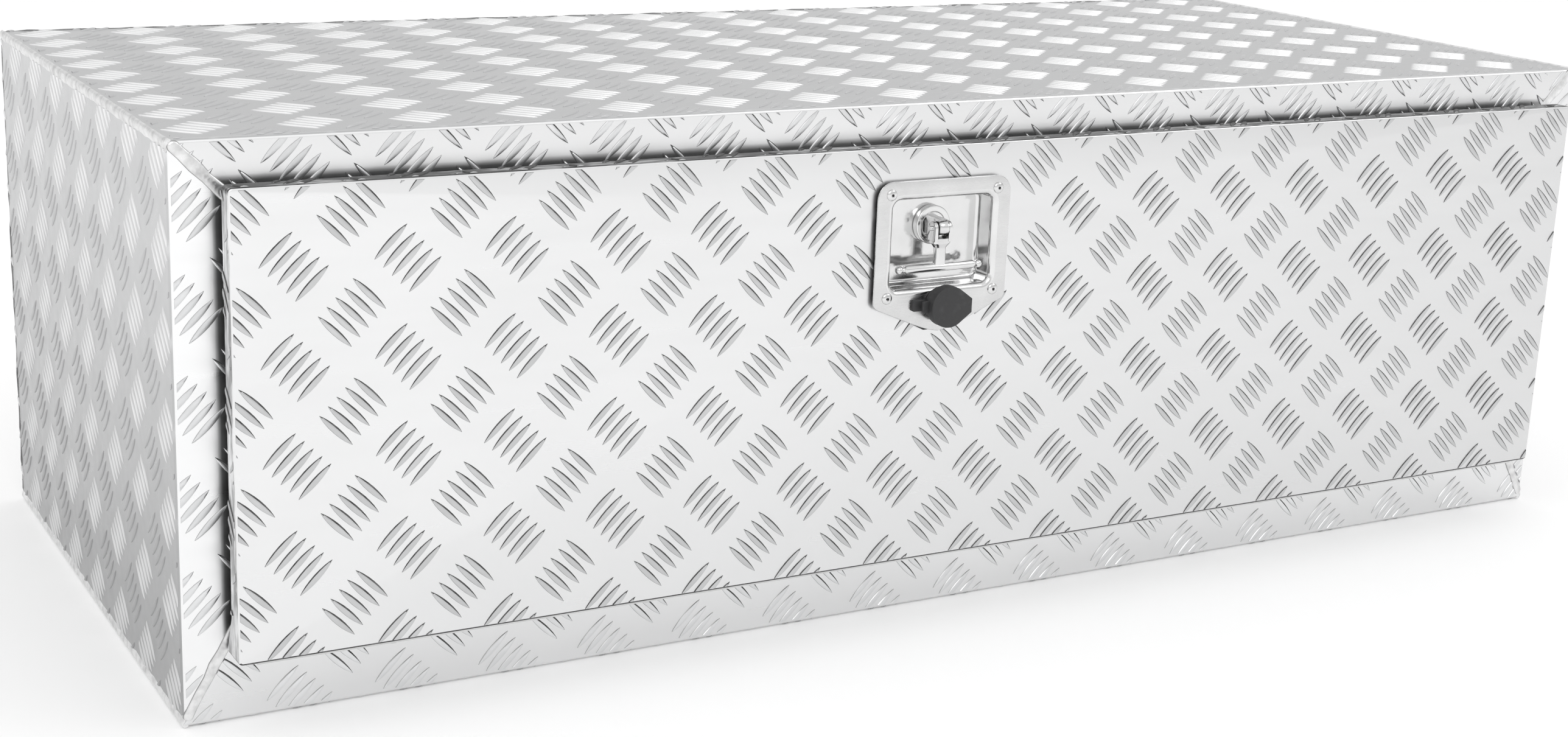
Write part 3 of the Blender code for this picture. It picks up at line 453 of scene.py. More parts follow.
def finish_called(name):
    """The named material, made the first time that it is asked for."""
    found = bpy.data.materials.get(name)
    if found:
        return found
    scene = bpy.context.scene
    metal = scene.toolbox_metal
    steel = tuple(metal.stainless_colour)
    tread = scene.toolbox_tread
    plate, shaded_plate, bars = (tuple(c) for c in (tread.plate_colour, tread.shaded_plate_colour, tread.bar_colour))
    makers = {
        # The strips' plate takes a painted shadow behind the door's edge and painted shade along the box
        "tread_plate": lambda: plate_finish("tread_plate", shade(plate, 0.99), 0.90, door_shadow_shade=0.30),
        # The door's plate is a darker copy of the strips' plate as painted shade, and darkens along the box as
        # painted shade
        "door_sheet": lambda: plate_finish("door_sheet", shade(plate, 0.90), 0.85),
        # The top, the sides and the back are a darker copy of the plate as painted shade; the sides and the back
        # darken further towards the floor as painted shade, and the top and the left side take a painted sheen
        # round the falling groups
        "top_sheet": lambda: plate_finish(
            "top_sheet", shaded_plate, lattice=("top", TOP_FIRST, TOP_PITCH)),
        "side_sheet": lambda: plate_finish(
            "side_sheet", shaded_plate, low_shade=0.62, lattice=("side", SIDE_FIRST, SIDE_PITCH)),
        "back_sheet": lambda: plate_finish(
            "back_sheet", shaded_plate, low_shade=0.70),
        # The bottom strip's plate is a darker copy as painted shade under the door
        "low_strip": lambda: plate_finish("low_strip", shade(plate, 0.90)),
        "door_return": lambda: return_finish("door_return", shade(plate, 0.92)),
        # The front's bars are a darker copy of the plate as painted shade; the strips' bars are a lighter copy of
        # them as painted light
        "tread_bar": lambda: bar_finish("tread_bar", bars, 0.32),
        "strip_bar": lambda: bar_finish("strip_bar", shade(bars, 1.30), 0.40),
        # The sheen bars are a bright copy as painted sheen, and the tick bars a dark copy as painted shade
        "sheen_bar": lambda: bar_finish("sheen_bar", tuple(tread.sheen_bar_colour), 0.78, 0.72),
        "tick_bar": lambda: bar_finish("tick_bar", shade(shaded_plate, 0.97), 0.30, 0.62),
        "painted_edge_shade": edge_shade_finish,
        "mill_sheet": lambda: sheet_finish("mill_sheet", (0.74, 0.745, 0.75)),
        "rivet_metal": lambda: sheet_finish("rivet_metal", (0.72, 0.725, 0.73), 0.33),
        "weld_metal": lambda: weld_finish(metal),
        "satin_steel": lambda: steel_finish("satin_steel", steel, 0.27),
        "polished_steel": lambda: steel_finish("polished_steel", shade(steel, 1.08), 0.13, (1, 1, 1), 0.04),
        "hinge_steel": lambda: steel_finish("hinge_steel", shade(steel, 0.95), 0.30),
        "zinc_plate": zinc_finish,
        "black_rubber": lambda: rubber_finish(metal),
    }
    return makers[name]()


# ---------------------------------------------------------------- surfaces


def grid_faces(rows, columns, wrap_rows=False, wrap_columns=False):
    """Quads between the neighbouring points of a grid stored row by row; a wrapped side joins its start."""
    row, column = np.meshgrid(
        np.arange(rows if wrap_rows else rows - 1),
        np.arange(columns if wrap_columns else columns - 1), indexing="ij")
    after_row, after_column = (row + 1) % rows, (column + 1) % columns
    quads = [row * columns + column, row * columns + after_column,
             after_row * columns + after_column, after_row * columns + column]
    return np.stack(quads, -1).reshape(-1, 4)


class Shells:
    """Closed surfaces gathered into one mesh, each with its finish."""

    def __init__(self, *finishes):
        self.finishes = finishes
        self.points, self.faces, self.kinds, self.crests = [], [], [], []
        self.count = 0

    def add(self, points, faces, finish=0, crest=None):
        """Adds points (n, 3) and faces, as one array or several of different widths.

        finish is one number, or one for each face where the faces are one array.
        """
        points = np.asarray(points, float).reshape(-1, 3)
        for group in faces if isinstance(faces, (list, tuple)) else [faces]:
            self.faces += (np.asarray(group) + self.count).tolist()
            self.kinds += np.broadcast_to(finish, len(group)).tolist()
        self.points.append(points)
        self.crests.append(np.ones(len(points)) if crest is None else np.asarray(crest, float).ravel())
        self.count += len(points)

    def piece(self, name, body, replaced=(), sharp=30, level=4, upright=6):
        """Makes the object, inside the model's box and with its faces outwards, and puts it on its body.

        level and upright are the finishes of a tread piece's top and sides.
        """
        mesh = bpy.data.meshes.new(name)
        mesh.from_pydata(np.clip(np.concatenate(self.points), *CAD_BOX), [], self.faces)
        for finish in self.finishes:
            mesh.materials.append(finish_called(finish))
        mesh.polygons.foreach_set("material_index", self.kinds)
        if {"tread_bar", "weld_metal"} & set(self.finishes):
            layer = mesh.attributes.new("crest", "FLOAT", "POINT")
            layer.data.foreach_set("value", np.concatenate(self.crests).astype(np.float32))
        shape = bmesh.new()
        shape.from_mesh(mesh)
        bmesh.ops.recalc_face_normals(shape, faces=shape.faces)
        shape.to_mesh(mesh)
        shape.free()
        if "painted_edge_shade" in self.finishes:
            dress_tread(mesh, body == "door", level, upright)
        mesh.shade_smooth()
        mesh.set_sharp_from_angle(angle=math.radians(sharp))
        thing = bpy.data.objects.new(name, mesh)
        bpy.context.scene.collection.objects.link(thing)
        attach(thing, body)
        if replaced:
            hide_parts(*replaced)
        return thing


def tube(rings):
    """Rings (r, n, 3) of equal length joined in order, each end covered by one face."""
    rings = np.asarray(rings, float)
    rows, columns = rings.shape[:2]
    first = np.arange(columns)
    ends = [first[None, ::-1], (first + (rows - 1) * columns)[None]]
    return rings.reshape(-1, 3), [grid_faces(rows, columns, wrap_columns=True), *ends]


def closed_tube(rings):
    """Rings joined in order, and the last joined to the first."""
    rings = np.asarray(rings, float)
    return rings.reshape(-1, 3), grid_faces(*rings.shape[:2], wrap_rows=True, wrap_columns=True)


AXES = {"x": (0, 1, 2), "y": (1, 0, 2), "z": (2, 0, 1)}


def turned(profile, axis, centre, steps, join=tube):
    """A solid of revolution: (length, radius) pairs carried round a line along an axis, through centre.

    join is tube for a profile between two ends, and closed_tube for one that meets itself.
    """
    profile = np.asarray(profile, float)
    angle = np.linspace(0, math.tau, steps, endpoint=False)
    rings = np.zeros((len(profile), steps, 3))
    along, across, up = AXES[axis]
    rings[..., along] = profile[:, :1]
    rings[..., across] = centre[0] + profile[:, 1:] * np.cos(angle)
    rings[..., up] = centre[1] + profile[:, 1:] * np.sin(angle)
    return join(rings)


def rounded_profile(points, radius, steps=4):
    """A (length, radius) profile with its inner corners replaced by quadratic arcs of about that radius."""
    points = np.asarray(points, float)
    rounded = [points[:1]]
    share = np.linspace(0, 1, steps + 1)[:, None]
    for before, corner, after in zip(points, points[1:], points[2:]):
        come, go = before - corner, after - corner
        reach = min(radius, np.linalg.norm(come) * 0.49, np.linalg.norm(go) * 0.49)
        start = corner + come / np.linalg.norm(come) * reach
        stop = corner + go / np.linalg.norm(go) * reach
        rounded.append((1 - share) ** 2 * start + 2 * share * (1 - share) * corner + share ** 2 * stop)
    rounded.append(points[-1:])
    return np.concatenate(rounded)


def rectangle_ring(low, high, radius, arc=6, side=8):
    """A rounded rectangle: four quarter circles, and evenly spaced points on the sides between them."""
    low, high = np.asarray(low, float), np.asarray(high, float)
    ring = []
    corners = [(high[0], high[1], 0), (low[0], high[1], 1), (low[0], low[1], 2), (high[0], low[1], 3)]
    inward = [(-1, -1), (1, -1), (1, 1), (-1, 1)]
    arcs = []
    for (x, y, quarter), (sx, sy) in zip(corners, inward):
        angle = math.pi / 2 * (quarter + np.linspace(0, 1, arc + 1))
        centre = np.array([x + sx * radius, y + sy * radius])
        arcs.append(centre + radius * np.stack([np.cos(angle), np.sin(angle)], -1))
    share = np.linspace(0, 1, side + 1)[1:-1, None]
    for i in range(4):
        start, stop = arcs[i][-1], arcs[(i + 1) % 4][0]
        ring += [arcs[i], start + (stop - start) * share]
    return np.concatenate(ring)


def offset_ring(ring, distance):
    """A closed counter-clockwise outline moved inwards along its own normals."""
    along = np.roll(ring, -1, 0) - np.roll(ring, 1, 0)
    along /= np.maximum(np.linalg.norm(along, axis=1, keepdims=True), 1e-12)
    return ring + distance * np.stack([-along[:, 1], along[:, 0]], -1)


def slab(outline, levels):
    """An outline in (y, z) given thickness: (x, inset) pairs set copies of it, x from the latch's middle."""
    return tube([
        np.column_stack([np.full(len(outline), LATCH_X + x), offset_ring(outline, inset)])
        for x, inset in levels])


def block(low, high, radius, levels):
    """A rounded block: (y, inset) pairs set copies of a rounded rectangle, each drawn in."""
    return tube([
        at_depth(rectangle_ring(low + inset, high - inset, radius - inset, 4, 2), y) for y, inset in levels])


def at_depth(ring, y):
    """An (x, z) outline set at a depth."""
    ring = np.asarray(ring, float)
    return np.stack([ring[:, 0], np.broadcast_to(y, len(ring)), ring[:, 1]], -1)


def fold_section(path):
    """Both faces of the plate folded along a path through its middle: straight runs joined by arcs."""
    middle = FOLD + PLATE / 2
    path = np.asarray(path, float)
    one, other = [], []

    def add(point, normal):
        one.append(point + normal * PLATE / 2)
        other.append(point - normal * PLATE / 2)

    def normal_of(direction):
        return np.array([-direction[1], direction[0]])

    runs = np.diff(path, axis=0)
    runs /= np.linalg.norm(runs, axis=1, keepdims=True)
    add(path[0], normal_of(runs[0]))
    for corner, come, go in zip(path[1:-1], runs, runs[1:]):
        turn = math.atan2(come[0] * go[1] - come[1] * go[0], come @ go)
        side = math.copysign(1, turn)
        centre = corner - come * middle * math.tan(abs(turn) / 2) + normal_of(come) * side * middle
        for angle in np.linspace(0, turn, FOLD_STEPS + 1):
            c, s = math.cos(angle), math.sin(angle)
            away = np.array([[c, -s], [s, c]]) @ (normal_of(come) * -side)
            add(centre + away * middle, away * -side)
    add(path[-1], normal_of(runs[-1]))
    return np.array(one), np.array(other)


def folded_panel(shells, path, ends, place, finish=0):
    """A folded sheet: its section carried between the two ends that a function gives for its points."""
    one, other = fold_section(path)
    section = np.concatenate([one, other[::-1]])
    rings = np.stack([place(end, section) for end in ends(section)])
    count, run = len(section), len(one)
    faces = [grid_faces(2, count, wrap_columns=True)]
    i = np.arange(run - 1)
    cap = np.stack([i, i + 1, count - 2 - i, count - 1 - i], -1)
    shells.add(rings.reshape(-1, 3), faces + [cap, cap + count], finish)


# ---------------------------------------------------------------- tread

TREAD_FINISHES = (
    "tread_plate", "tread_bar", "painted_edge_shade", "sheen_bar", "top_sheet", "tick_bar", "side_sheet", "door_return",
    "low_strip", "mill_sheet", "back_sheet", "strip_bar")
DOOR_FINISHES = ("door_sheet", *TREAD_FINISHES[1:])
(PLATE_FACE, FRONT_BAR, EDGE_SHADE, SHEEN_BAR, TOP_FACE, TICK_BAR, SIDE_FACE, RETURN_FACE, LOW_FACE, INNER_FACE,
 BACK_FACE, STRIP_BAR) = range(len(TREAD_FINISHES))
BAR_STATIONS = np.array([-1, -0.84, -0.6, -0.31, 0, 0.31, 0.6, 0.84, 1])
BAR_ACROSS = np.array([-1, -0.84, -0.08, 0.66, 1])
FALLING_ACROSS = np.array([-1, -0.84, -0.16, 0.48, 1])
BAR_CROWN = np.array([-0.12, 0.62, 1.0, 0.70, -0.12])


def lattice_bars(box, pitch, first, settings):
    """Centres and directions of the bars: groups of five, rising at the lattice's points, falling between."""
    low = np.floor((box[0] - pitch - first) / pitch)
    high = np.ceil((box[1] + pitch - first) / pitch)
    index = [np.arange(low[k], high[k] + 1) for k in (0, 1)]
    points = np.stack(np.meshgrid(*index, indexing="ij"), -1).reshape(-1, 2) * pitch + first
    slope = math.radians(45)
    centres, ways = [], []
    for shift, sign in ((0.0, 1), (0.5, -1)):
        way = np.array([math.cos(slope), sign * math.sin(slope)])
        step = np.array([math.sin(slope), -sign * math.cos(slope)]) * settings.bar_step
        group = (points + shift * np.array(pitch))[:, None] + np.arange(-2, 3)[None, :, None] * step
        centres.append(group.reshape(-1, 2))
        ways.append(np.broadcast_to(way, (group.size // 2, 2)))
    return np.concatenate(centres), np.concatenate(ways)


def bar_points(centres, ways, settings):
    """Bars on the plane, and how full each point's station is.

    Along s, from -1 to 1, the half width goes as (1 - s^2)^0.8 and the rise as (1 - s^4)^0.5; across, it is
    a low crown.
    """
    s = BAR_STATIONS
    t = np.where(ways[:, 1:] < 0, FALLING_ACROSS, BAR_ACROSS)
    wide = np.maximum((1 - s ** 2) ** 0.8, 0.05) * settings.bar_width / 2
    tall = np.maximum((1 - s ** 4) ** 0.5, 0.12)
    normals = np.stack([-ways[:, 1], ways[:, 0]], -1)
    plane = (
        centres[:, None, None]
        + ways[:, None, None] * (s * settings.bar_length / 2)[:, None, None]
        + normals[:, None, None] * (wide[:, None] * t[:, None])[..., None]
    )
    height = np.broadcast_to(tall[:, None] * BAR_CROWN[None, :] * BAR_RISE, plane.shape[:3])
    return np.concatenate([plane, height[..., None]], -1), np.broadcast_to(tall[:, None], plane.shape[:3])


def bar_faces(count):
    """Faces of so many bars: quads along each, one under each, and a face on each end."""
    rows, columns = len(BAR_STATIONS), len(BAR_ACROSS)
    quads = grid_faces(rows, columns, wrap_columns=True)
    ends = np.stack([np.arange(columns)[::-1], np.arange(columns) + (rows - 1) * columns])
    start = (np.arange(count) * rows * columns)[:, None, None]
    return [(quads[None] + start).reshape(-1, 4), (ends[None] + start).reshape(-1, columns)]


def trimmed(points, faces, outline):
    """The bars cut off along an outline's edges, with each cut closed."""
    mesh = bpy.data.meshes.new("trim")
    mesh.from_pydata(points.reshape(-1, 3), [], [f for group in faces for f in group.tolist()])
    shape = bmesh.new()
    shape.from_mesh(mesh)
    for start, stop in zip(outline, np.roll(outline, -1, 0)):
        along = stop - start
        bmesh.ops.bisect_plane(
            shape, geom=shape.verts[:] + shape.edges[:] + shape.faces[:], dist=1e-7,
            plane_co=(*start, 0), plane_no=(along[1], -along[0], 0), clear_outer=True)
        bmesh.ops.holes_fill(shape, edges=[e for e in shape.edges if e.is_boundary])
    shape.to_mesh(mesh)
    shape.free()
    kept = np.zeros(len(mesh.vertices) * 3)
    mesh.vertices.foreach_get("co", kept)
    polygons = [list(p.vertices) for p in mesh.polygons]
    bpy.data.meshes.remove(mesh)
    return kept.reshape(-1, 3), polygons


def dress_tread(mesh, on_door, level, upright):
    """Chooses the finishes of a tread piece's faces by where they look and lie.

    The upper faces of the front's bars take painted shade, and so does the door's lower edge. Plain faces that
    don't look forwards are the top, the sides, the back or the inside.
    """
    count = len(mesh.polygons)
    kinds, normals, centres = np.zeros(count, int), np.zeros(count * 3), np.zeros(count * 3)
    mesh.polygons.foreach_get("material_index", kinds)
    mesh.polygons.foreach_get("normal", normals)
    mesh.polygons.foreach_get("center", centres)
    (right, rear, up), (x, y, z) = normals.reshape(-1, 3).T, centres.reshape(-1, 3).T
    # Painted shade on the upper faces of the front's bars, and on those of the strips' bars that slope one way
    kinds[(kinds == FRONT_BAR) & (up > 0.28)] = EDGE_SHADE
    kinds[(kinds == STRIP_BAR) & (up > 0.28) & (right > 0)] = EDGE_SHADE
    plain = (kinds == PLATE_FACE) & (rear > -0.8)
    kinds[plain] = INNER_FACE
    kinds[plain & (right * np.sign(x) > 0.5)] = upright
    kinds[plain & (up > 0.5) & (z > DOOR_HIGH.z - 5 * MM)] = level
    kinds[plain & (rear > 0.7) & (y > BACK - 3 * MM)] = BACK_FACE
    if on_door:
        # Painted shade along the door's lower fold
        kinds[(up < -0.1) & (z < DOOR_LOW.z + 3 * MM) & (kinds != FRONT_BAR)] = EDGE_SHADE
    mesh.polygons.foreach_set("material_index", kinds)


def add_tread(shells, outline, place, pitch, first, settings, finish=FRONT_BAR, hole=None, rising=None):
    """Bars over one flat face: those inside its outline whole, those across its edges cut off there.

    finish is for all of them, or only for the falling ones where rising names another for the rest. No bar has a
    part inside the hole.
    """
    outline = np.asarray(outline, float)
    pitch, first = np.asarray(pitch), np.asarray(first)
    centres, ways = lattice_bars((outline.min(0), outline.max(0)), pitch, first, settings)
    half = settings.bar_length / 2
    edge = np.roll(outline, -1, 0) - outline
    inward = np.stack([-edge[:, 1], edge[:, 0]], -1) / np.linalg.norm(edge, axis=1, keepdims=True)
    distance = ((centres[:, None] - outline[None]) * inward[None]).sum(-1)
    reach = np.abs(ways @ inward.T) * half + settings.bar_width / 2 * 0.3
    least = 0.4 * MM  # a shorter rest of a bar is left out
    touching = (distance > least - reach).all(1)
    if hole is not None:
        low, high = np.asarray(hole[0]), np.asarray(hole[1])
        tips = centres[:, None] + ways[:, None] * (np.linspace(-1, 1, 9)[None, :, None] * half)
        within = ((tips > low) & (tips < high)).all(-1)
        touching &= ~within.any(1)
    centres, ways, inside = centres[touching], ways[touching], (distance > reach).all(1)[touching]
    falling = ways[:, 1] < 0
    rising = finish if rising is None else rising
    for chosen, cut, kind in (
        (inside & falling, False, finish), (inside & ~falling, False, rising),
        (~inside & falling, True, finish), (~inside & ~falling, True, rising),
    ):
        if not chosen.any():
            continue
        points, fullness = bar_points(centres[chosen], ways[chosen], settings)
        faces = bar_faces(chosen.sum())
        if cut:
            points, polygons = trimmed(points, faces, outline)
            by_width = {}
            for polygon in polygons:
                by_width.setdefault(len(polygon), []).append(polygon)
            faces = [np.array(group) for group in by_width.values()]
        points = points.reshape(-1, 3)
        crest = points[:, 2] / BAR_RISE
        # The ticks' painted shade gathers at their thin tips, and cut ticks take none
        if kind == TICK_BAR:
            crest = np.ones(len(points)) if cut else fullness.reshape(-1)
        shells.add(place(points), faces, kind, crest)


def plane_place(origin, right, up, out):
    """Carries (right, up, out) coordinates of a face into space."""
    origin, basis = np.asarray(origin, float), np.array([right, up, out], float)
    return lambda points: origin + points @ basis


# ---------------------------------------------------------------- case


def along_x(a, section):
    """A (y, z) section at distances along X."""
    return np.column_stack([a, section])


def along_z(a, section):
    """An (x, y) section at distances along Z."""
    return np.column_stack([section, a])


def top_ends(section):
    """Where the top panel's (y, z) section ends, left and right, on the upper mitres."""
    half = SIDE - (HEIGHT - section[:, 1]) - SEAM / 2
    return -half, half


def bottom_ends(section):
    """Where the bottom panel's (y, z) section ends, left and right, on the lower mitres."""
    half = SIDE - section[:, 1] / LOWER_RISE - SEAM / 2
    return -half, half


def side_ends(section):
    """Where a side panel's (x, y) section ends, low and high, on its mitres."""
    inward = SIDE - np.abs(section[:, 0])
    return inward * LOWER_RISE + SEAM / 2, HEIGHT - inward - SEAM / 2


def trapezoid(low, high, half_low, half_high=None):
    """An outline even about the middle, from its half widths at a low and a high edge."""
    half_high = half_low if half_high is None else half_high
    return [(-half_low, low), (half_low, low), (half_high, high), (-half_high, high)]


def make_top_and_bottom(tread):
    """The top and bottom panels with their front strips and lips, mitred at both ends."""
    front = plane_place((0, FACE_Y, 0), (1, 0, 0), (0, 0, 1), (0, -1, 0))
    fold = FRONT + MIDDLE
    reach = SIDE - EDGE_CLEAR
    half = SIDE - STRIP_CLEAR

    shells = Shells(*TREAD_FINISHES)
    lip_z = DOORWAY_TOP + PLATE / 2
    path = [(BACK, HEIGHT - MIDDLE), (fold, HEIGHT - MIDDLE), (fold, lip_z), (LIP_END, lip_z)]
    folded_panel(shells, path, top_ends, along_x)
    # Falling groups on the top take the painted sheen, and rising ones the ticks' painted shade
    add_tread(
        shells, trapezoid(FRONT + OUTER_FOLD, BACK, reach),
        plane_place((0, 0, HEIGHT - BAR_RISE), (1, 0, 0), (0, 1, 0), (0, 0, 1)),
        TOP_PITCH, TOP_FIRST, tread, SHEEN_BAR, rising=TICK_BAR)
    low, top = DOORWAY_TOP + SHEET, HEIGHT - OUTER_FOLD
    add_tread(
        shells, trapezoid(low, top, half - HEIGHT + low, half - HEIGHT + top), front,
        (tread.pitch_across, TOP_STRIP_PITCH_UP), TOP_STRIP_FIRST, tread, STRIP_BAR)
    shells.piece("top_plate", "case", ["top_panel"])

    shells = Shells(*TREAD_FINISHES)
    lip_z = BOTTOM_STRIP - PLATE / 2
    path = [(BACK, MIDDLE), (fold, MIDDLE), (fold, lip_z), (LIP_END, lip_z)]
    # The bottom panel's front strip takes the low strip's painted shade
    folded_panel(shells, path, bottom_ends, along_x, LOW_FACE)
    add_tread(
        shells, trapezoid(FRONT + OUTER_FOLD, BACK, reach),
        plane_place((0, 0, BAR_RISE), (1, 0, 0), (0, 1, 0), (0, 0, -1)),
        TOP_PITCH, BOTTOM_FIRST, tread, SHEEN_BAR, rising=TICK_BAR)
    low, top = OUTER_FOLD, DOOR_LOW.z + 4 * MM
    add_tread(
        shells, trapezoid(low, top, half - low / LOWER_RISE, half - top / LOWER_RISE), front,
        (tread.pitch_across, tread.pitch_up), BOTTOM_STRIP_FIRST, tread, STRIP_BAR)
    shells.piece("bottom_plate", "case", ["bottom_panel"])


def make_sides(tread):
    """The left and right panels with their front strips and lips, mitred at the top and the bottom."""
    front = plane_place((0, FACE_Y, 0), (1, 0, 0), (0, 0, 1), (0, -1, 0))
    for name, hand in (("left", -1), ("right", 1)):
        shells = Shells(*TREAD_FINISHES)
        wall, lip_x, fold = hand * (SIDE - MIDDLE), hand * (DOORWAY_X + PLATE / 2), FRONT + MIDDLE
        path = [(wall, BACK), (wall, fold), (lip_x, fold), (lip_x, LIP_END)]
        folded_panel(shells, path, side_ends, along_z)
        # Seen from outside, a side's right runs along hand * Y
        start, stop = sorted((hand * (FRONT + OUTER_FOLD), hand * BACK))
        low, high = EDGE_CLEAR, HEIGHT - EDGE_CLEAR
        add_tread(
            shells, [(start, low), (stop, low), (stop, high), (start, high)],
            plane_place((hand * (SIDE - BAR_RISE), 0, 0), (0, hand, 0), (0, 0, 1), (hand, 0, 0)),
            SIDE_PITCH, SIDE_FIRST, tread, SHEEN_BAR, rising=TICK_BAR if hand < 0 else SHEEN_BAR)
        inner, outer = DOORWAY_X + SHEET, SIDE - OUTER_FOLD
        strip = [
            (hand * inner, (SIDE - inner) * LOWER_RISE + LOW_WELD_CLEAR),
            (hand * outer, (SIDE - outer) * LOWER_RISE + LOW_WELD_CLEAR),
            (hand * outer, HEIGHT - (SIDE - outer) - EDGE_CLEAR),
            (hand * inner, HEIGHT - (SIDE - inner) - EDGE_CLEAR)]
        add_tread(
            shells, strip if hand > 0 else strip[::-1], front,
            (tread.pitch_across, tread.pitch_up), SIDE_STRIP_FIRST, tread, STRIP_BAR)
        shells.piece(
            f"{name}_plate", "case", [f"{name}_panel"],
            upright=SIDE_FACE if hand < 0 else BACK_FACE)


def make_back(tread):
    """The back panel, a flat plate set in between the others."""
    shells = Shells(*TREAD_FINISHES)
    low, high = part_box("back_panel")
    face = BACK - BAR_RISE
    ring = trapezoid(low.z, high.z, high.x)
    shells.add(*tube([at_depth(ring, low.y), at_depth(ring, face)]))
    add_tread(
        shells, trapezoid(low.z + EDGE_CLEAR, high.z - EDGE_CLEAR, high.x - EDGE_CLEAR),
        plane_place((0, face, 0), (-1, 0, 0), (0, 0, 1), (0, 1, 0)),
        (tread.pitch_across, tread.pitch_up), BACK_FIRST, tread, SHEEN_BAR)
    shells.piece("back_plate", "case", ["back_panel"])


# ---------------------------------------------------------------- door


def make_door(tread):
    """The door: a pan with rounded folds, tread on its face and returns, and a hole for the dish."""
    shells = Shells(*DOOR_FINISHES)
    low = np.array([DOOR_LOW.x, DOOR_LOW.z]) + BAR_RISE
    high = np.array([DOOR_HIGH.x, DOOR_HIGH.z]) - BAR_RISE
    face = DOOR_LOW.y + BAR_RISE
    inner = DOOR_LOW.y + SHEET
    deep, short = DOOR_HIGH.y, DOOR_LOW.y + RETURN
    corner, fold = 3.2 * MM, 1.4 * MM
    arc, side = 6, 12  # points round each corner and along each side
    wall = DISH_SHEET + 1.0 * MM
    hole_corner = 6 * MM
    hole = rectangle_ring(
        (LATCH_X - RECESS_WIDTH / 2 - wall, RECESS_BOTTOM - DISH_SHEET - SEAM),
        (LATCH_X + RECESS_WIDTH / 2 + wall, RECESS_TOP + wall), hole_corner, arc, side)
    rings = [at_depth(hole, face)]
    for angle in np.linspace(0, math.pi / 2, 5):
        inset = fold * (1 - math.sin(angle))
        rings.append(at_depth(
            rectangle_ring(low + inset, high - inset, max(corner - inset, 0.8 * MM), arc, side),
            face + fold * (1 - math.cos(angle))))
    outer = rectangle_ring(low, high, corner, arc, side)
    inside = rectangle_ring(low + PLATE, high - PLATE, corner - PLATE, arc, side)
    # The bottom return is deep, and the side returns narrow above it
    slope_start, slope_end = low[1] + 7 * MM, low[1] + 30 * MM
    back = np.interp(outer[:, 1], [slope_start, slope_end], [deep, short])
    rings += [at_depth(outer, back), at_depth(inside, back), at_depth(inside, inner), at_depth(hole, inner)]
    shells.add(*closed_tube(rings))

    edge = fold + 0.2 * MM
    outline = [(low[0] + edge, low[1] + edge), (high[0] - edge, low[1] + edge),
               (high[0] - edge, high[1] - edge), (low[0] + edge, high[1] - edge)]
    margin = 2 * MM
    add_tread(
        shells, outline, plane_place((0, face, 0), (1, 0, 0), (0, 0, 1), (0, -1, 0)),
        (tread.pitch_across, tread.pitch_up), DOOR_FIRST, tread,
        hole=(hole.min(0) - margin, hole.max(0) + margin))
    start, stop = face + fold + 0.5 * MM, short
    upright = (slope_end + 2 * MM, high[1] - corner)
    for origin, right, out, (begin, end) in (
        ((0, 0, high[1]), (1, 0, 0), (0, 0, 1), (low[0] + corner, high[0] - corner)),
        ((low[0], 0, 0), (0, 0, 1), (-1, 0, 0), upright), ((high[0], 0, 0), (0, 0, 1), (1, 0, 0), upright),
    ):
        add_tread(
            shells, [(begin, start), (end, start), (end, stop), (begin, stop)],
            plane_place(origin, right, (0, 1, 0), out), (tread.pitch_across, tread.pitch_up),
            (DOOR_FIRST[0], (start + stop) / 2 + 12 * MM), tread)
    shells.piece(
        "door_plate", "door", ["door_pan"], level=RETURN_FACE, upright=RETURN_FACE)


# ---------------------------------------------------------------- welds


def bead(shells, path, across, out, width, height, seed):
    """A weld bead along a path.

    Its section is half an ellipse, width by height, closed flat below. Crescent ripples run along it:
    height times 0.95 + 0.07 * |sin(pi * (s / ripple - 1.6 * t^2))|. Both sizes swell and shrink a little at
    random, and the ends run out as half ellipses.
    """
    ripple = 3.2 * MM
    path = np.asarray(path, float)
    run = np.r_[0, np.cumsum(np.linalg.norm(np.diff(path, axis=0), axis=1))]
    length = run[-1]
    count = max(12, int(length / (ripple / 4)))
    s = np.linspace(0, length, count)
    centre = np.stack([np.interp(s, run, path[:, k]) for k in range(3)], -1)
    across, out = np.asarray(across, float), np.asarray(out, float)
    random = np.random.default_rng(seed)
    knots = max(4, int(length / 9e-3))
    swell = np.interp(s, np.linspace(0, length, knots), random.uniform(0.86, 1.14, knots))
    wander = np.interp(s, np.linspace(0, length, knots), random.uniform(-0.09, 0.09, knots))
    run_out = width / 2
    ends = np.sqrt(np.clip(1 - (1 - np.clip(np.minimum(s, length - s) / run_out, 0, 1)) ** 2, 0.004, 1))
    t = np.linspace(-1, 1, 13)
    rise = np.sqrt(np.clip(1 - t ** 2, 0, 1))
    wave = 1 + 0.07 * np.abs(np.sin(math.pi * (s[:, None] / ripple - 1.6 * t[None] ** 2))) - 0.05
    a = (t[None] + wander[:, None]) * (width / 2 * swell * ends)[:, None]
    b = (rise[None] * wave * swell[:, None] * ends[:, None]) * height
    b[:, 0], b[:, -1] = -0.3 * MM, -0.3 * MM
    rings = centre[:, None] + across * a[..., None] + out * b[..., None]
    points, faces = tube(rings)
    shells.add(points, faces, crest=np.broadcast_to(rise[None], b.shape))


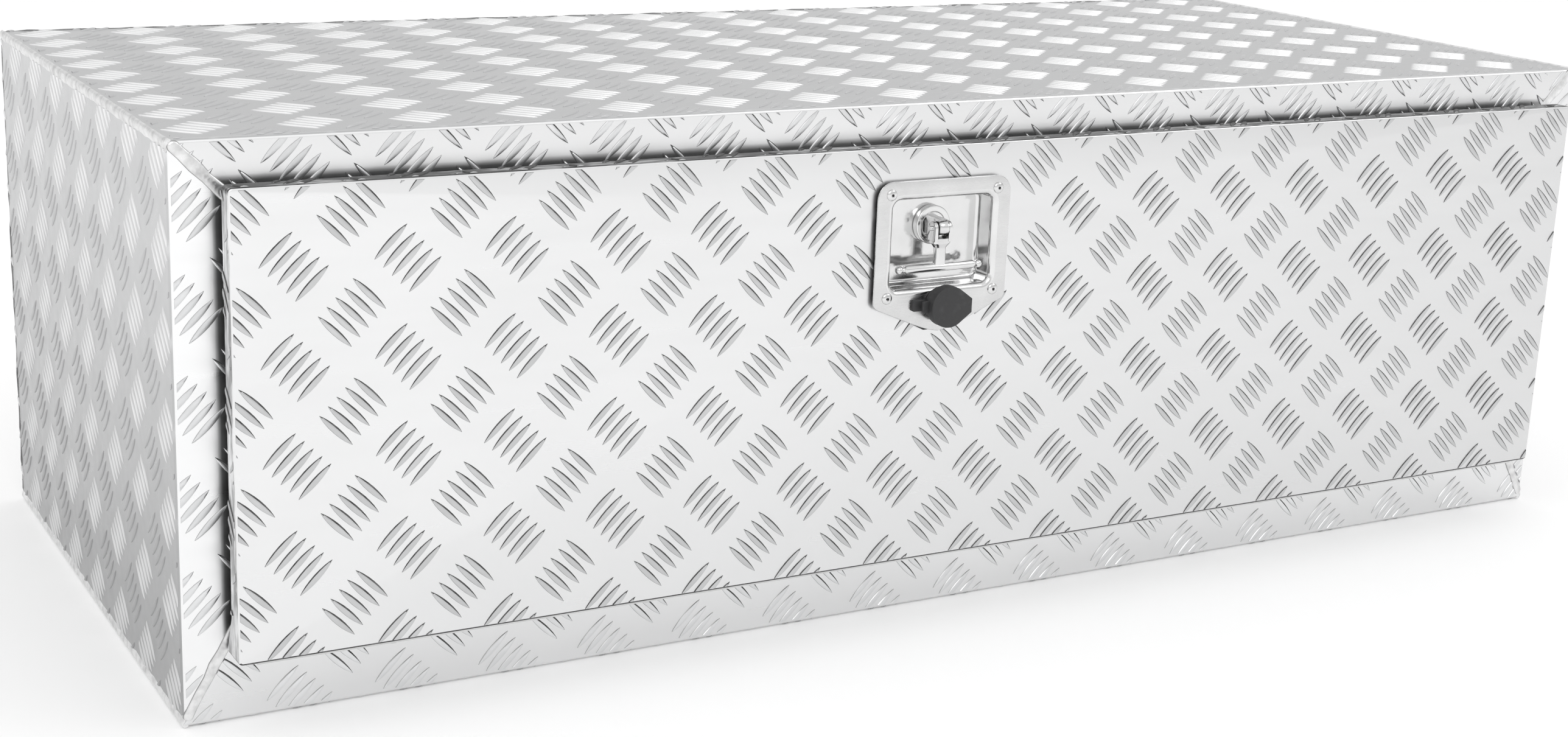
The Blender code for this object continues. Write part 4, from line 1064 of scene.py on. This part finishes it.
def corner_bead(shells, start, stop, one, other, reach, seed):
    """A weld along an outer edge: a section that rounds the corner between two faces, rippled along its run.

    The section runs along the first face, over a quarter round, and down the second face.
    """
    start, stop, one, other = (np.asarray(v, float) for v in (start, stop, one, other))
    length = np.linalg.norm(stop - start)
    ripple = 3.4 * MM
    s = np.linspace(0, length, int(length / (ripple / 4)))
    random = np.random.default_rng(seed)
    knots = int(length / 8e-3)
    swell = np.interp(s, np.linspace(0, length, knots), random.uniform(0.80, 1.08, knots))
    side = np.interp(s, np.linspace(0, length, knots), random.uniform(0.85, 1.15, knots))
    angle = np.linspace(0, math.pi / 2, 9)
    a = np.r_[-1.0, -0.62, -0.36 * (1 - np.sin(angle)), 0.0, 0.0]
    b = np.r_[0.0, 0.0, -0.36 * (1 - np.cos(angle)), -0.55, -0.8]
    lift = np.r_[-0.35, 0.55, np.ones(9), 0.55, -0.35]
    t = np.linspace(-1, 1, len(a))
    wave = 0.80 + 0.20 * np.abs(np.sin(math.pi * (s[:, None] / ripple - 0.9 * t[None] ** 2)))
    rise = np.clip(lift[None] * wave * swell[:, None], -0.4, 1.0) * BAR_RISE
    # a runs inwards along one face and b along the other; both lie one bar's rise inside the corner
    blend = np.clip((a - b + 0.5), 0, 1)
    out = other[None] * (1 - blend[:, None]) + one[None] * blend[:, None]
    out /= np.linalg.norm(out, axis=1, keepdims=True)
    along_one = (a * reach)[None] * side[:, None]
    along_two = (b * reach * 0.55)[None] * side[:, None]
    middle = start + (stop - start) * (s / length)[:, None]
    rings = (
        middle[:, None] + one * along_one[..., None] + other * along_two[..., None]
        - (one + other) * BAR_RISE + out[None] * rise[..., None])
    shells.add(*tube(rings))


def make_welds():
    """Beads along the case's corner joints and round its back panel."""
    shells = Shells("weld_metal")
    forwards, rearwards = (0, -1, 0), (0, 1, 0)
    rise = LOWER_RISE
    start, stop = 3 * MM, 38 * MM  # along the mitres, from the case's corners
    for hand in (-1, 1):
        upper = [(hand * (SIDE - start), FACE_Y, HEIGHT - start),
                 (hand * (DOORWAY_X + 2 * MM), FACE_Y, DOORWAY_TOP + 2 * MM)]
        bead(shells, upper, np.array([hand, 0, -1]) / math.sqrt(2), forwards, 9.0 * MM, 1.3 * MM, 3 + hand)
        lower = [(hand * (SIDE - start), FACE_Y, start * rise), (hand * (SIDE - stop), FACE_Y, stop * rise)]
        across = np.array([rise, 0, hand]) / math.hypot(rise, 1)
        bead(shells, lower, across, forwards, 7.5 * MM, 1.3 * MM, 7 + hand)
        edge = hand * SIDE
        for z, up, seed in ((HEIGHT, 1, 21), (0.0, -1, 31)):
            corner_bead(
                shells, (edge, FRONT + 1.5 * MM, z), (edge, BACK - 0.5 * MM, z), (0, 0, up), (hand, 0, 0),
                7.5 * MM, seed + hand)
    low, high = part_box("back_panel")
    seam = BACK - BAR_RISE
    level, upright = (0, 0, 1), (1, 0, 0)
    for start, stop, across, seed in (
        ((low.x, low.z), (high.x, low.z), level, 41), ((low.x, high.z), (high.x, high.z), level, 42),
        ((low.x, low.z), (low.x, high.z), upright, 43), ((high.x, low.z), (high.x, high.z), upright, 44),
    ):
        line = [(start[0], seam, start[1]), (stop[0], seam, stop[1])]
        bead(shells, line, across, rearwards, 6 * MM, 0.78 * MM, seed)
    shells.piece("weld_beads", "case", sharp=60)


# ---------------------------------------------------------------- seal


def make_seal():
    """A bulb seal carried round the doorway's lip: a channel over the lip with a bulb towards the door."""
    low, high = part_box("door_seal")
    clear, wall = SEAM, 1.5 * MM
    half_wide, foot = 4.1 * MM, LIP_END - 2.2 * MM
    angle = np.radians(np.linspace(215, -35, 15))
    bulb_y = (low.y + LIP_END - 4 * MM) / 2 - 0.2 * MM
    half_tall = (LIP_END - 4 * MM - low.y) / 2 + 1.0 * MM
    bulb = [(PLATE / 2 + half_wide * math.cos(a), bulb_y - half_tall * math.sin(a)) for a in angle]
    section = np.array(
        [(-clear - wall, high.y), (-clear - wall, foot)] + bulb
        + [(PLATE + clear + wall, foot), (PLATE + clear + wall, high.y), (PLATE + clear, high.y),
           (PLATE + clear, LIP_END - clear), (-clear, LIP_END - clear), (-clear, high.y)])
    section[:, 1] = np.clip(section[:, 1], low.y + 0.05 * MM, None)
    shells = Shells("black_rubber")
    rings = []
    corner = 4.2 * MM
    for out, y in section:
        low_end, high_end = (-DOORWAY_X - out, BOTTOM_STRIP - out), (DOORWAY_X + out, DOORWAY_TOP + out)
        rings.append(at_depth(rectangle_ring(low_end, high_end, corner + out, 6, 4), y))
    shells.add(*closed_tube(rings))
    shells.piece("bulb_seal", "case", ["door_seal"])


# ---------------------------------------------------------------- latch


def dish_outline(inset, arc=8, side=14):
    """The dish's outline: quarter-round top corners, rounded shoulders, and a lower edge dipping to a point.

    Along the lower edge the height above the point goes as sqrt(x^2 + b^2) - b.
    """
    half = DISH_HIGH.x - LATCH_X
    top, tip, shoulder = DISH_HIGH.z, DISH_LOW.z, 250.0 * MM
    corner, turn = 13 * MM, 6 * MM
    mirror = (-1, 1)
    angle = np.linspace(0, math.pi / 2, arc + 1)
    round_off = np.stack([np.cos(angle), np.sin(angle)], -1) * corner + (half - corner, top - corner)
    across = np.linspace(1, -1, side + 1)[1:-1] * (half - corner)
    top_edge = np.stack([across, np.full(side - 1, top)], -1)
    down = np.linspace(top - corner, shoulder + turn, side + 1)[1:-1]
    left_edge = np.stack([np.full(side - 1, -half), down], -1)
    slope = math.atan2(shoulder - tip - 2.0 * MM, half)
    sweep = np.linspace(0, math.pi / 2 - slope, arc + 1)
    centre = np.array([-half + turn, shoulder + turn * 0.55])
    bend = centre + turn * np.stack([-np.cos(sweep), -np.sin(sweep)], -1)
    blunt = 9 * MM
    x = np.linspace(bend[-1, 0], -bend[-1, 0], side + 1)[1:-1]
    rise = (np.sqrt(x ** 2 + blunt ** 2) - blunt) / (math.hypot(bend[-1, 0], blunt) - blunt)
    low_edge = np.stack([x, tip + rise * (bend[-1, 1] - tip)], -1)
    ring = np.concatenate([
        round_off, top_edge, round_off[::-1] * mirror, left_edge, bend, low_edge, bend[::-1] * mirror,
        left_edge[::-1] * mirror])
    return offset_ring(ring + (LATCH_X, 0), inset)


def recess_ring(inset, radius, arc=8, side=14):
    """The recess's outline, moved inwards."""
    half = RECESS_WIDTH / 2
    return rectangle_ring(
        (LATCH_X - half + inset, RECESS_BOTTOM + inset), (LATCH_X + half - inset, RECESS_TOP - inset),
        max(radius - inset, 0.6 * MM), arc, side)


def circle_ring(centre, radius, like):
    """A circle whose points look towards those of another outline."""
    angle = np.arctan2(like[:, 1] - centre[1], like[:, 0] - centre[0])
    return np.asarray(centre) + radius * np.stack([np.cos(angle), np.sin(angle)], -1)


def make_dish():
    """The pressed dish: a flat rim rolled over into a deep recess, all one sheet, open for the spindle."""
    shells = Shells("satin_steel", "polished_steel")
    front, floor = PLATE_FRONT, FLOOR_Y
    roll, bottom_round, corner = 4.4 * MM, 3.2 * MM, 6.5 * MM
    spindle = np.array([LATCH_X, SPINDLE_Z])
    like = recess_ring(4 * MM, corner)
    rings = [at_depth(dish_outline(0.9 * MM), front + DISH_SHEET)]
    rings.append(at_depth(dish_outline(0.0), front + DISH_SHEET - 0.3 * MM))
    for angle in np.linspace(0, math.pi / 2, 4):
        rings.append(at_depth(
            dish_outline(0.8 * MM * (1 - math.cos(angle))), front + 0.8 * MM * (1 - math.sin(angle))))
    rim_rows = len(rings)
    quarter = [(math.sin(angle), math.cos(angle)) for angle in np.linspace(0, math.pi / 2, 6)]
    rings += [at_depth(recess_ring(-roll + roll * sine, corner), front + roll * (1 - cosine))
              for sine, cosine in quarter]
    rings += [at_depth(recess_ring(bottom_round * (1 - cosine), corner), floor - bottom_round * (1 - sine))
              for sine, cosine in quarter]
    hole = 6.4 * MM
    back = floor + DISH_SHEET
    rings += [at_depth(circle_ring(spindle, radius, like), y) for radius, y in (
        (15 * MM, floor), (hole, floor), (hole, back))]
    rings += [at_depth(recess_ring(inset, corner), y) for inset, y in (
        (1.5 * MM, back), (-DISH_SHEET, floor - 0.5 * MM), (-DISH_SHEET, front + DISH_SHEET + 1.5 * MM),
        (-DISH_SHEET - 0.9 * MM, front + DISH_SHEET))]
    points, faces = closed_tube(rings)
    satin, polished = 0, 1
    in_recess = np.arange(len(faces)) >= rim_rows * len(rings[0])
    shells.add(points, faces, np.where(in_recess, polished, satin))
    shells.piece("dish", "door", ["latch_dish"])


def make_latch_rivets():
    """Four blind rivets: a low dome with a small round hollow, where the stem broke off."""
    shells = Shells("polished_steel", "black_rubber")
    names = [f"latch_rivet_{i}" for i in range(1, 5)]
    slope = 1.18  # angle at which the dome stops, at its hollow
    for name in names:
        low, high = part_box(name)
        centre = ((low.x + high.x) / 2, (low.z + high.z) / 2)
        base = PLATE_FRONT - 0.02 * MM
        angle = np.linspace(0.0, slope, 7)
        dome = np.stack([base - 1.75 * MM * np.sin(angle) / math.sin(slope), 4.3 * MM * np.cos(angle)], -1)
        flare = high.y - 2.5 * MM
        profile = np.concatenate([
            [(high.y, 2.4 * MM), (flare, 3.4 * MM), (flare, 2.2 * MM), (base, 2.2 * MM)], dome,
            [(base - 1.55 * MM, 1.15 * MM), (base - 0.5 * MM, 1.05 * MM)]])
        # The stem at the bottom of the hollow takes the black rubber finish: a dark plug as painted shade in the
        # hollow
        stem = [(base - 0.3 * MM, 1.0 * MM), (base - 0.75 * MM, 0.9 * MM)]
        shells.add(*turned(profile, "y", centre, 32))
        shells.add(*turned(stem, "y", centre, 16), finish=1)
    shells.piece("latch_rivets", "door", names)


def make_spindle(metal):
    """The spindle's disc with a rounded rim, its shaft, and the tongue that carries the handle."""
    disc, disc_radius = FLOOR_Y - 5.8 * MM, 14.5 * MM
    shaft, thread, step = 5.9 * MM, 4.5 * MM, SHAFT_END - 11.8 * MM
    tiny = 0.3 * MM  # radius at which a turned end is closed flat
    shells = Shells("polished_steel")
    profile = rounded_profile([
        (disc + 0.4 * MM, tiny), (disc + 0.4 * MM, 9.6 * MM), (disc, 10.2 * MM), (disc, disc_radius),
        (FLOOR_Y - SEAM, disc_radius), (FLOOR_Y - SEAM, shaft), (step, shaft), (step, thread),
        (SHAFT_END, thread), (SHAFT_END, tiny)], 0.9 * MM)
    shells.add(*turned(profile, "y", (LATCH_X, SPINDLE_Z), metal.round_steps))
    half, radius, root = 4.1 * MM, 5.6 * MM, disc + 2 * MM
    angle = np.linspace(-math.pi / 2, math.pi / 2, 17)
    tip = np.stack([PIVOT_Y - radius * np.cos(angle), SPINDLE_Z + radius * np.sin(angle)], -1)
    tongue = np.concatenate([[(root, SPINDLE_Z - radius)], tip, [(root, SPINDLE_Z + radius)]])[::-1]
    rounding = ((half, 0.9 * MM), (half - 0.3 * MM, 0.3 * MM), (half - 0.9 * MM, 0.0))
    levels = [(-x, -inset) for x, inset in rounding] + [(x, -inset) for x, inset in rounding[::-1]]
    shells.add(*slab(tongue, levels))
    shells.piece("spindle_hub", "spindle", ["spindle"])

    pin = Shells("polished_steel")
    low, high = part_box("handle_pin")
    pin.add(*turned(rounded_profile([
        (low.x, 0.2 * MM), (low.x, 1.8 * MM), (high.x, 1.8 * MM), (high.x, 0.2 * MM)], 0.6 * MM),
        "x", (PIVOT_Y, SPINDLE_Z), 24))
    pin.piece("cross_pin", "spindle", ["handle_pin"])


def make_handle():
    """The folding handle: two ears round the tongue, a waisted shank, and a cross bar with ball ends."""
    shells = Shells("polished_steel")
    half = HANDLE_RIGHT - LATCH_X
    rod, neck, ball_half = 3.3 * MM, 2.0 * MM, 3.2 * MM
    angle = np.radians(np.linspace(4, 150, 9))
    ball = np.stack([half - ball_half + ball_half * np.cos(angle), rod * np.sin(angle)], -1)
    groove = [(half - 6.6 * MM, neck), (half - 7.2 * MM, neck), (half - 7.9 * MM, rod * 0.9),
              (half - 9.2 * MM, rod)]
    right = np.concatenate([ball, groove])
    profile = np.concatenate([right, right[::-1] * (-1, 1)]) + (LATCH_X, 0)
    shells.add(*turned(profile, "x", (BAR_Y, BAR_Z), 32))

    # Shank: superellipse sections from the bar up to the fork
    stations = np.array([
        # z, centre y, half width, half depth
        (BAR_Z - 1.0 * MM, BAR_Y, 4.6 * MM, 2.4 * MM), (BAR_Z + 3.0 * MM, BAR_Y, 4.5 * MM, 3.0 * MM),
        (BAR_Z + 8.0 * MM, BAR_Y, 4.2 * MM, 3.1 * MM), (SPINDLE_Z - 14.6 * MM, PIVOT_Y, 4.3 * MM, 3.4 * MM),
        (SPINDLE_Z - 12.8 * MM, PIVOT_Y, 5.6 * MM, 4.2 * MM),
        (SPINDLE_Z - 11.2 * MM, PIVOT_Y, 7.4 * MM, 4.9 * MM),
        (SPINDLE_Z - 7.6 * MM, PIVOT_Y, 7.5 * MM, 4.6 * MM)])
    angle = np.linspace(0, math.tau, 32, endpoint=False)
    power = 0.55
    cosine, sine = np.cos(angle), np.sin(angle)
    shape_x = np.sign(cosine) * np.abs(cosine) ** power
    shape_y = np.sign(sine) * np.abs(sine) ** power
    fine = np.linspace(0, len(stations) - 1, 25)
    spread = np.stack([np.interp(fine, np.arange(len(stations)), stations[:, k]) for k in range(4)], -1)
    rings = np.zeros((len(spread), 32, 3))
    rings[..., 0] = LATCH_X + spread[:, 2:3] * shape_x
    rings[..., 1] = spread[:, 1:2] + spread[:, 3:4] * shape_y
    rings[..., 2] = spread[:, 0:1]
    shells.add(*tube(rings))

    radius, low_end = 5.1 * MM, SPINDLE_Z - 9.8 * MM
    turn = np.linspace(0, math.pi, 17)
    ear = np.concatenate([
        np.stack([PIVOT_Y + radius * np.cos(turn), SPINDLE_Z + radius * np.sin(turn)], -1),
        [(PIVOT_Y - radius, low_end), (PIVOT_Y + radius, low_end)]])
    near, far = 4.6 * MM, 7.5 * MM
    levels = ((near, 0.35 * MM), (near + 0.35 * MM, 0.0), (far - 0.7 * MM, 0.0), (far - 0.25 * MM, 0.25 * MM),
              (far, 0.8 * MM))
    for hand in (-1, 1):
        shells.add(*slab(ear, [(hand * x, inset) for x, inset in levels]))
    shells.piece("handle", "t_handle", ["t_handle"])


def make_lock(metal):
    """The lock's barrel, bored through for the plug, with a bevelled flange."""
    low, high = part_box("lock_barrel")
    shells = Shells("polished_steel")
    bore, barrel, flange = 5.8 * MM, 8.0 * MM, 10.0 * MM
    flange_back = PLATE_FRONT - SEAM
    section = rounded_profile([
        (low.y + 0.8 * MM, bore), (low.y, bore + 0.6 * MM), (low.y, flange), (flange_back, flange),
        (flange_back, barrel), (high.y, barrel), (high.y, bore), (low.y + 1.2 * MM, bore)], 0.5 * MM)
    shells.add(*turned(section, "y", (LATCH_X, LOCK_Z), metal.round_steps, closed_tube))
    shells.piece("barrel", "door", ["lock_barrel"])


def make_cover(metal):
    """The rubber ring round the lock with its strap's root, and the cap that closes over the lock.

    The cap's outline is a circle with two straight runs that close to a short flat end.
    """
    centre = np.array([LATCH_X, LOCK_Z])
    ring = Shells("black_rubber")
    base = COVER_RING_BACK
    outer, bore, front = 13.0 * MM, 10.3 * MM, base - 3.6 * MM
    section = rounded_profile([
        (base - 0.9 * MM, bore), (front, bore), (front, outer), (base, outer), (base, bore),
        (base - 1.0 * MM, bore)], 0.6 * MM)
    ring.add(*turned(section, "y", centre, metal.round_steps, closed_tube))
    root_low, root_high = centre - (25.0 * MM, 4.1 * MM), centre + (-12.2 * MM, 4.1 * MM)
    ring.add(*block(root_low, root_high, 1.6 * MM, (
        (base - 0.1 * MM, 0.0), (base - 2.4 * MM, 0.0), (base - 2.8 * MM, 0.2 * MM),
        (base - 3.0 * MM, 0.7 * MM))))
    ring.piece("lock_ring", "door", ["cover_ring"])

    cap = Shells("black_rubber")
    radius, end, tall = 15.4 * MM, 19.0 * MM, 5.2 * MM
    touch = math.atan2(tall, end) + math.acos(radius / math.hypot(end, tall))
    turn = np.linspace(touch, math.tau - touch, 49)
    tab = [(end, -tall), (end, 0.0), (end, tall)]
    outline = np.concatenate([tab, radius * np.stack([np.cos(turn), np.sin(turn)], -1)]) + centre
    back, front = COVER_HIGH.y, COVER_LOW.y
    cap.add(*tube([at_depth(offset_ring(outline, inset), y) for y, inset in (
        (back, 0.5 * MM), (back - 0.4 * MM, 0.0), (front + 1.0 * MM, 0.0), (front + 0.45 * MM, 0.12 * MM),
        (front + 0.12 * MM, 0.5 * MM), (front, 1.1 * MM))]))
    neck_low, neck_high = np.array([COVER_LOW.x, LOCK_Z - 4.5 * MM]), centre + (-11 * MM, 4.5 * MM)
    cap.add(*block(neck_low, neck_high, 1.8 * MM, (
        (back - 0.4 * MM, 0.4 * MM), (back - 0.8 * MM, 0.0), (back - 2.6 * MM, 0.0),
        (back - 3.0 * MM, 0.4 * MM))))
    cap.piece("cover_cap", "lock_cover", ["lock_cover"])


# ---------------------------------------------------------------- kept nodes

KEPT_FINISHES = {
    "hinge_case_leaf": "hinge_steel", "hinge_door_leaf": "hinge_steel", "hinge_pin": "hinge_steel",
    "case_rivet": "rivet_metal", "door_rivet": "rivet_metal", "door_stiffener": "mill_sheet",
    "stay_": "zinc_plate", "latch_gasket": "black_rubber", "latch_arm": "zinc_plate", "arm_": "zinc_plate",
    "spindle_bush": "satin_steel", "lock_nut": "satin_steel", "lock_plug": "polished_steel",
    "lock_cam": "zinc_plate",
}


def finish_nodes():
    """Gives every node that still shows its detailed finish."""
    for name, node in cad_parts.items():
        if node.hide_render:
            continue
        finish = next((KEPT_FINISHES[k] for k in KEPT_FINISHES if name.startswith(k)), None)
        if finish is None:
            raise RuntimeError(f"no finish is chosen for {name}")
        material = finish_called(finish)
        for slot in node.material_slots:
            slot.material = material


# ---------------------------------------------------------------- stage


def add_light(name, place, target, size, power):
    """A square soft light aimed at a point."""
    data = bpy.data.lights.new(name, "AREA")
    data.shape = "SQUARE"
    data.size = size
    data.energy = power
    light = bpy.data.objects.new(name, data)
    bpy.context.scene.collection.objects.link(light)
    out = np.array(place, float) - np.array(target, float)
    out /= np.linalg.norm(out)
    right = np.cross((0, 0, 1), out)
    right /= np.linalg.norm(right)
    matrix = np.eye(4)
    matrix[:3, :3] = np.stack([right, np.cross(out, right), out], 1)
    matrix[:3, 3] = place
    light.matrix_world = Matrix(matrix.tolist())


def make_floor(settings):
    """A wide pale floor just below the case."""
    reach, level = 14.0, -0.4 * MM
    line = np.linspace(-reach, reach, 5)
    x, y = np.meshgrid(line, line)
    points = np.stack([x, y, np.full_like(x, level)], -1).reshape(-1, 3)
    mesh = bpy.data.meshes.new("floor")
    mesh.from_pydata(points, [], grid_faces(5, 5).tolist())
    finish = Finish("floor_paper", tuple(settings.floor_colour), 0.9, 0.0)
    finish.shader.inputs["Specular IOR Level"].default_value = 0.1
    finish.shader.inputs["Emission Color"].default_value = (1, 1, 1, 1)
    finish.shader.inputs["Emission Strength"].default_value = settings.floor_glow
    mesh.materials.append(finish.material)
    floor = bpy.data.objects.new("floor", mesh)
    bpy.context.scene.collection.objects.link(floor)


def make_world(settings):
    """Soft surroundings: bright overhead and at the horizon, with a dimmer band between."""
    world = bpy.data.worlds.new("studio")
    bpy.context.scene.world = world
    world.use_nodes = True
    tree = world.node_tree
    background = tree.nodes["Background"]
    place = tree.nodes.new("ShaderNodeTexCoord")
    split = tree.nodes.new("ShaderNodeSeparateXYZ")
    tree.links.new(place.outputs["Generated"], split.inputs[0])
    band = tree.nodes.new("ShaderNodeValToRGB")
    band.color_ramp.interpolation = "EASE"
    haze = settings.haze
    stops = ((0.0, 0.97), (0.10, 0.86), (0.22, haze), (0.33, haze + 0.04), (0.52, 1.0), (1.0, 0.80))
    for i, (place_up, level) in enumerate(stops):
        stop = band.color_ramp.elements[i] if i < 2 else band.color_ramp.elements.new(place_up)
        stop.position = place_up
        stop.color = (level, level, level, 1)
    tree.links.new(split.outputs["Z"], band.inputs[0])
    tree.links.new(band.outputs[0], background.inputs["Color"])
    background.inputs["Strength"].default_value = settings.sky_light


CAMERA_PLACE = (-0.96506, -1.66677, 0.6561)
CAMERA_RIGHT = (0.872931, -0.486252, 0.03938)
CAMERA_DOWN = (-0.092606, -0.244419, -0.965238)
CAMERA_AHEAD = (0.478974, 0.838939, -0.258391)
CAMERA_SHIFT = (-0.0062, -0.0166)


def make_camera(settings):
    """The camera, in front of the left corner and a little above."""
    data = bpy.data.cameras.new("camera")
    data.lens = settings.lens
    data.sensor_width = 36
    data.shift_x, data.shift_y = CAMERA_SHIFT
    data.clip_end = 100
    camera = bpy.data.objects.new("camera", data)
    bpy.context.scene.collection.objects.link(camera)
    matrix = np.eye(4)
    matrix[:3, 0] = CAMERA_RIGHT
    matrix[:3, 1] = -np.array(CAMERA_DOWN)
    matrix[:3, 2] = -np.array(CAMERA_AHEAD)
    matrix[:3, 3] = CAMERA_PLACE
    camera.matrix_world = Matrix(matrix.tolist())
    bpy.context.scene.camera = camera


# ---------------------------------------------------------------- operators


class TOOLBOX_OT_stage(bpy.types.Operator):
    """Sets up the floor, the surroundings, the lights and the camera."""

    bl_idname = "toolbox.stage"
    bl_label = "Stage"

    def execute(self, context):
        settings = context.scene.toolbox_stage
        make_floor(settings)
        make_world(settings)
        add_light("key", (-1.6, -3.4, 2.8), (-0.3, -0.6, 0.1), 2.2, 30)
        add_light("fill", (2.8, -2.4, 2.8), (0.2, -0.3, 0.1), 1.6, 14)
        make_camera(settings)
        context.scene.view_settings.view_transform = "Standard"
        return {"FINISHED"}


class TOOLBOX_OT_case(bpy.types.Operator):
    """Makes the five tread-plate panels of the case."""

    bl_idname = "toolbox.case"
    bl_label = "Case panels"

    def execute(self, context):
        tread = context.scene.toolbox_tread
        make_top_and_bottom(tread)
        make_sides(tread)
        make_back(tread)
        return {"FINISHED"}


class TOOLBOX_OT_door(bpy.types.Operator):
    """Makes the door's folded tread-plate pan."""

    bl_idname = "toolbox.door"
    bl_label = "Door"

    def execute(self, context):
        make_door(context.scene.toolbox_tread)
        return {"FINISHED"}


class TOOLBOX_OT_welds(bpy.types.Operator):
    """Makes the weld beads of the case."""

    bl_idname = "toolbox.welds"
    bl_label = "Welds"

    def execute(self, context):
        make_welds()
        return {"FINISHED"}


class TOOLBOX_OT_seal(bpy.types.Operator):
    """Makes the bulb seal round the doorway."""

    bl_idname = "toolbox.seal"
    bl_label = "Seal"

    def execute(self, context):
        make_seal()
        return {"FINISHED"}


class TOOLBOX_OT_latch(bpy.types.Operator):
    """Makes the latch: dish, rivets, spindle and folding handle."""

    bl_idname = "toolbox.latch"
    bl_label = "Latch"

    def execute(self, context):
        metal = context.scene.toolbox_metal
        make_dish()
        make_latch_rivets()
        make_spindle(metal)
        make_handle()
        return {"FINISHED"}


class TOOLBOX_OT_lock(bpy.types.Operator):
    """Makes the lock and its rubber cover."""

    bl_idname = "toolbox.lock"
    bl_label = "Lock and cover"

    def execute(self, context):
        metal = context.scene.toolbox_metal
        make_lock(metal)
        make_cover(metal)
        return {"FINISHED"}


class TOOLBOX_OT_finishes(bpy.types.Operator):
    """Gives the model's own nodes their finishes."""

    bl_idname = "toolbox.finishes"
    bl_label = "Fittings' finishes"

    def execute(self, context):
        finish_nodes()
        return {"FINISHED"}


class TOOLBOX_PT_panel(bpy.types.Panel):
    """Lists the tool box's settings and operators."""

    bl_idname = "TOOLBOX_PT_panel"
    bl_label = "Truck Tool Box"
    bl_space_type = "VIEW_3D"
    bl_region_type = "UI"
    bl_category = "Tool Box"

    def draw(self, context):
        for name in SETTINGS:
            group = getattr(context.scene, name)
            box = self.layout.box()
            for key in group.__annotations__:
                box.prop(group, key)
        for operator in OPERATORS:
            self.layout.operator(operator.bl_idname)


SETTINGS = {"toolbox_tread": TreadSettings, "toolbox_metal": MetalSettings, "toolbox_stage": StageSettings}
OPERATORS = (
    TOOLBOX_OT_stage, TOOLBOX_OT_case, TOOLBOX_OT_door, TOOLBOX_OT_welds, TOOLBOX_OT_seal, TOOLBOX_OT_latch,
    TOOLBOX_OT_lock, TOOLBOX_OT_finishes,
)


def register():
    """Registers the settings, the operators and the panel."""
    for kind in (*SETTINGS.values(), *OPERATORS, TOOLBOX_PT_panel):
        bpy.utils.register_class(kind)
    for name, kind in SETTINGS.items():
        setattr(bpy.types.Scene, name, PointerProperty(type=kind))


def unregister():
    """Takes them away again."""
    for name in SETTINGS:
        delattr(bpy.types.Scene, name)
    for kind in reversed((*SETTINGS.values(), *OPERATORS, TOOLBOX_PT_panel)):
        bpy.utils.unregister_class(kind)


def main():
    """Runs every operator in order."""
    register()
    for operator in OPERATORS:
        group, name = operator.bl_idname.split(".")
        getattr(getattr(bpy.ops, group), name)()
    bpy.context.view_layer.update()


if __name__ == "__main__":
    main()
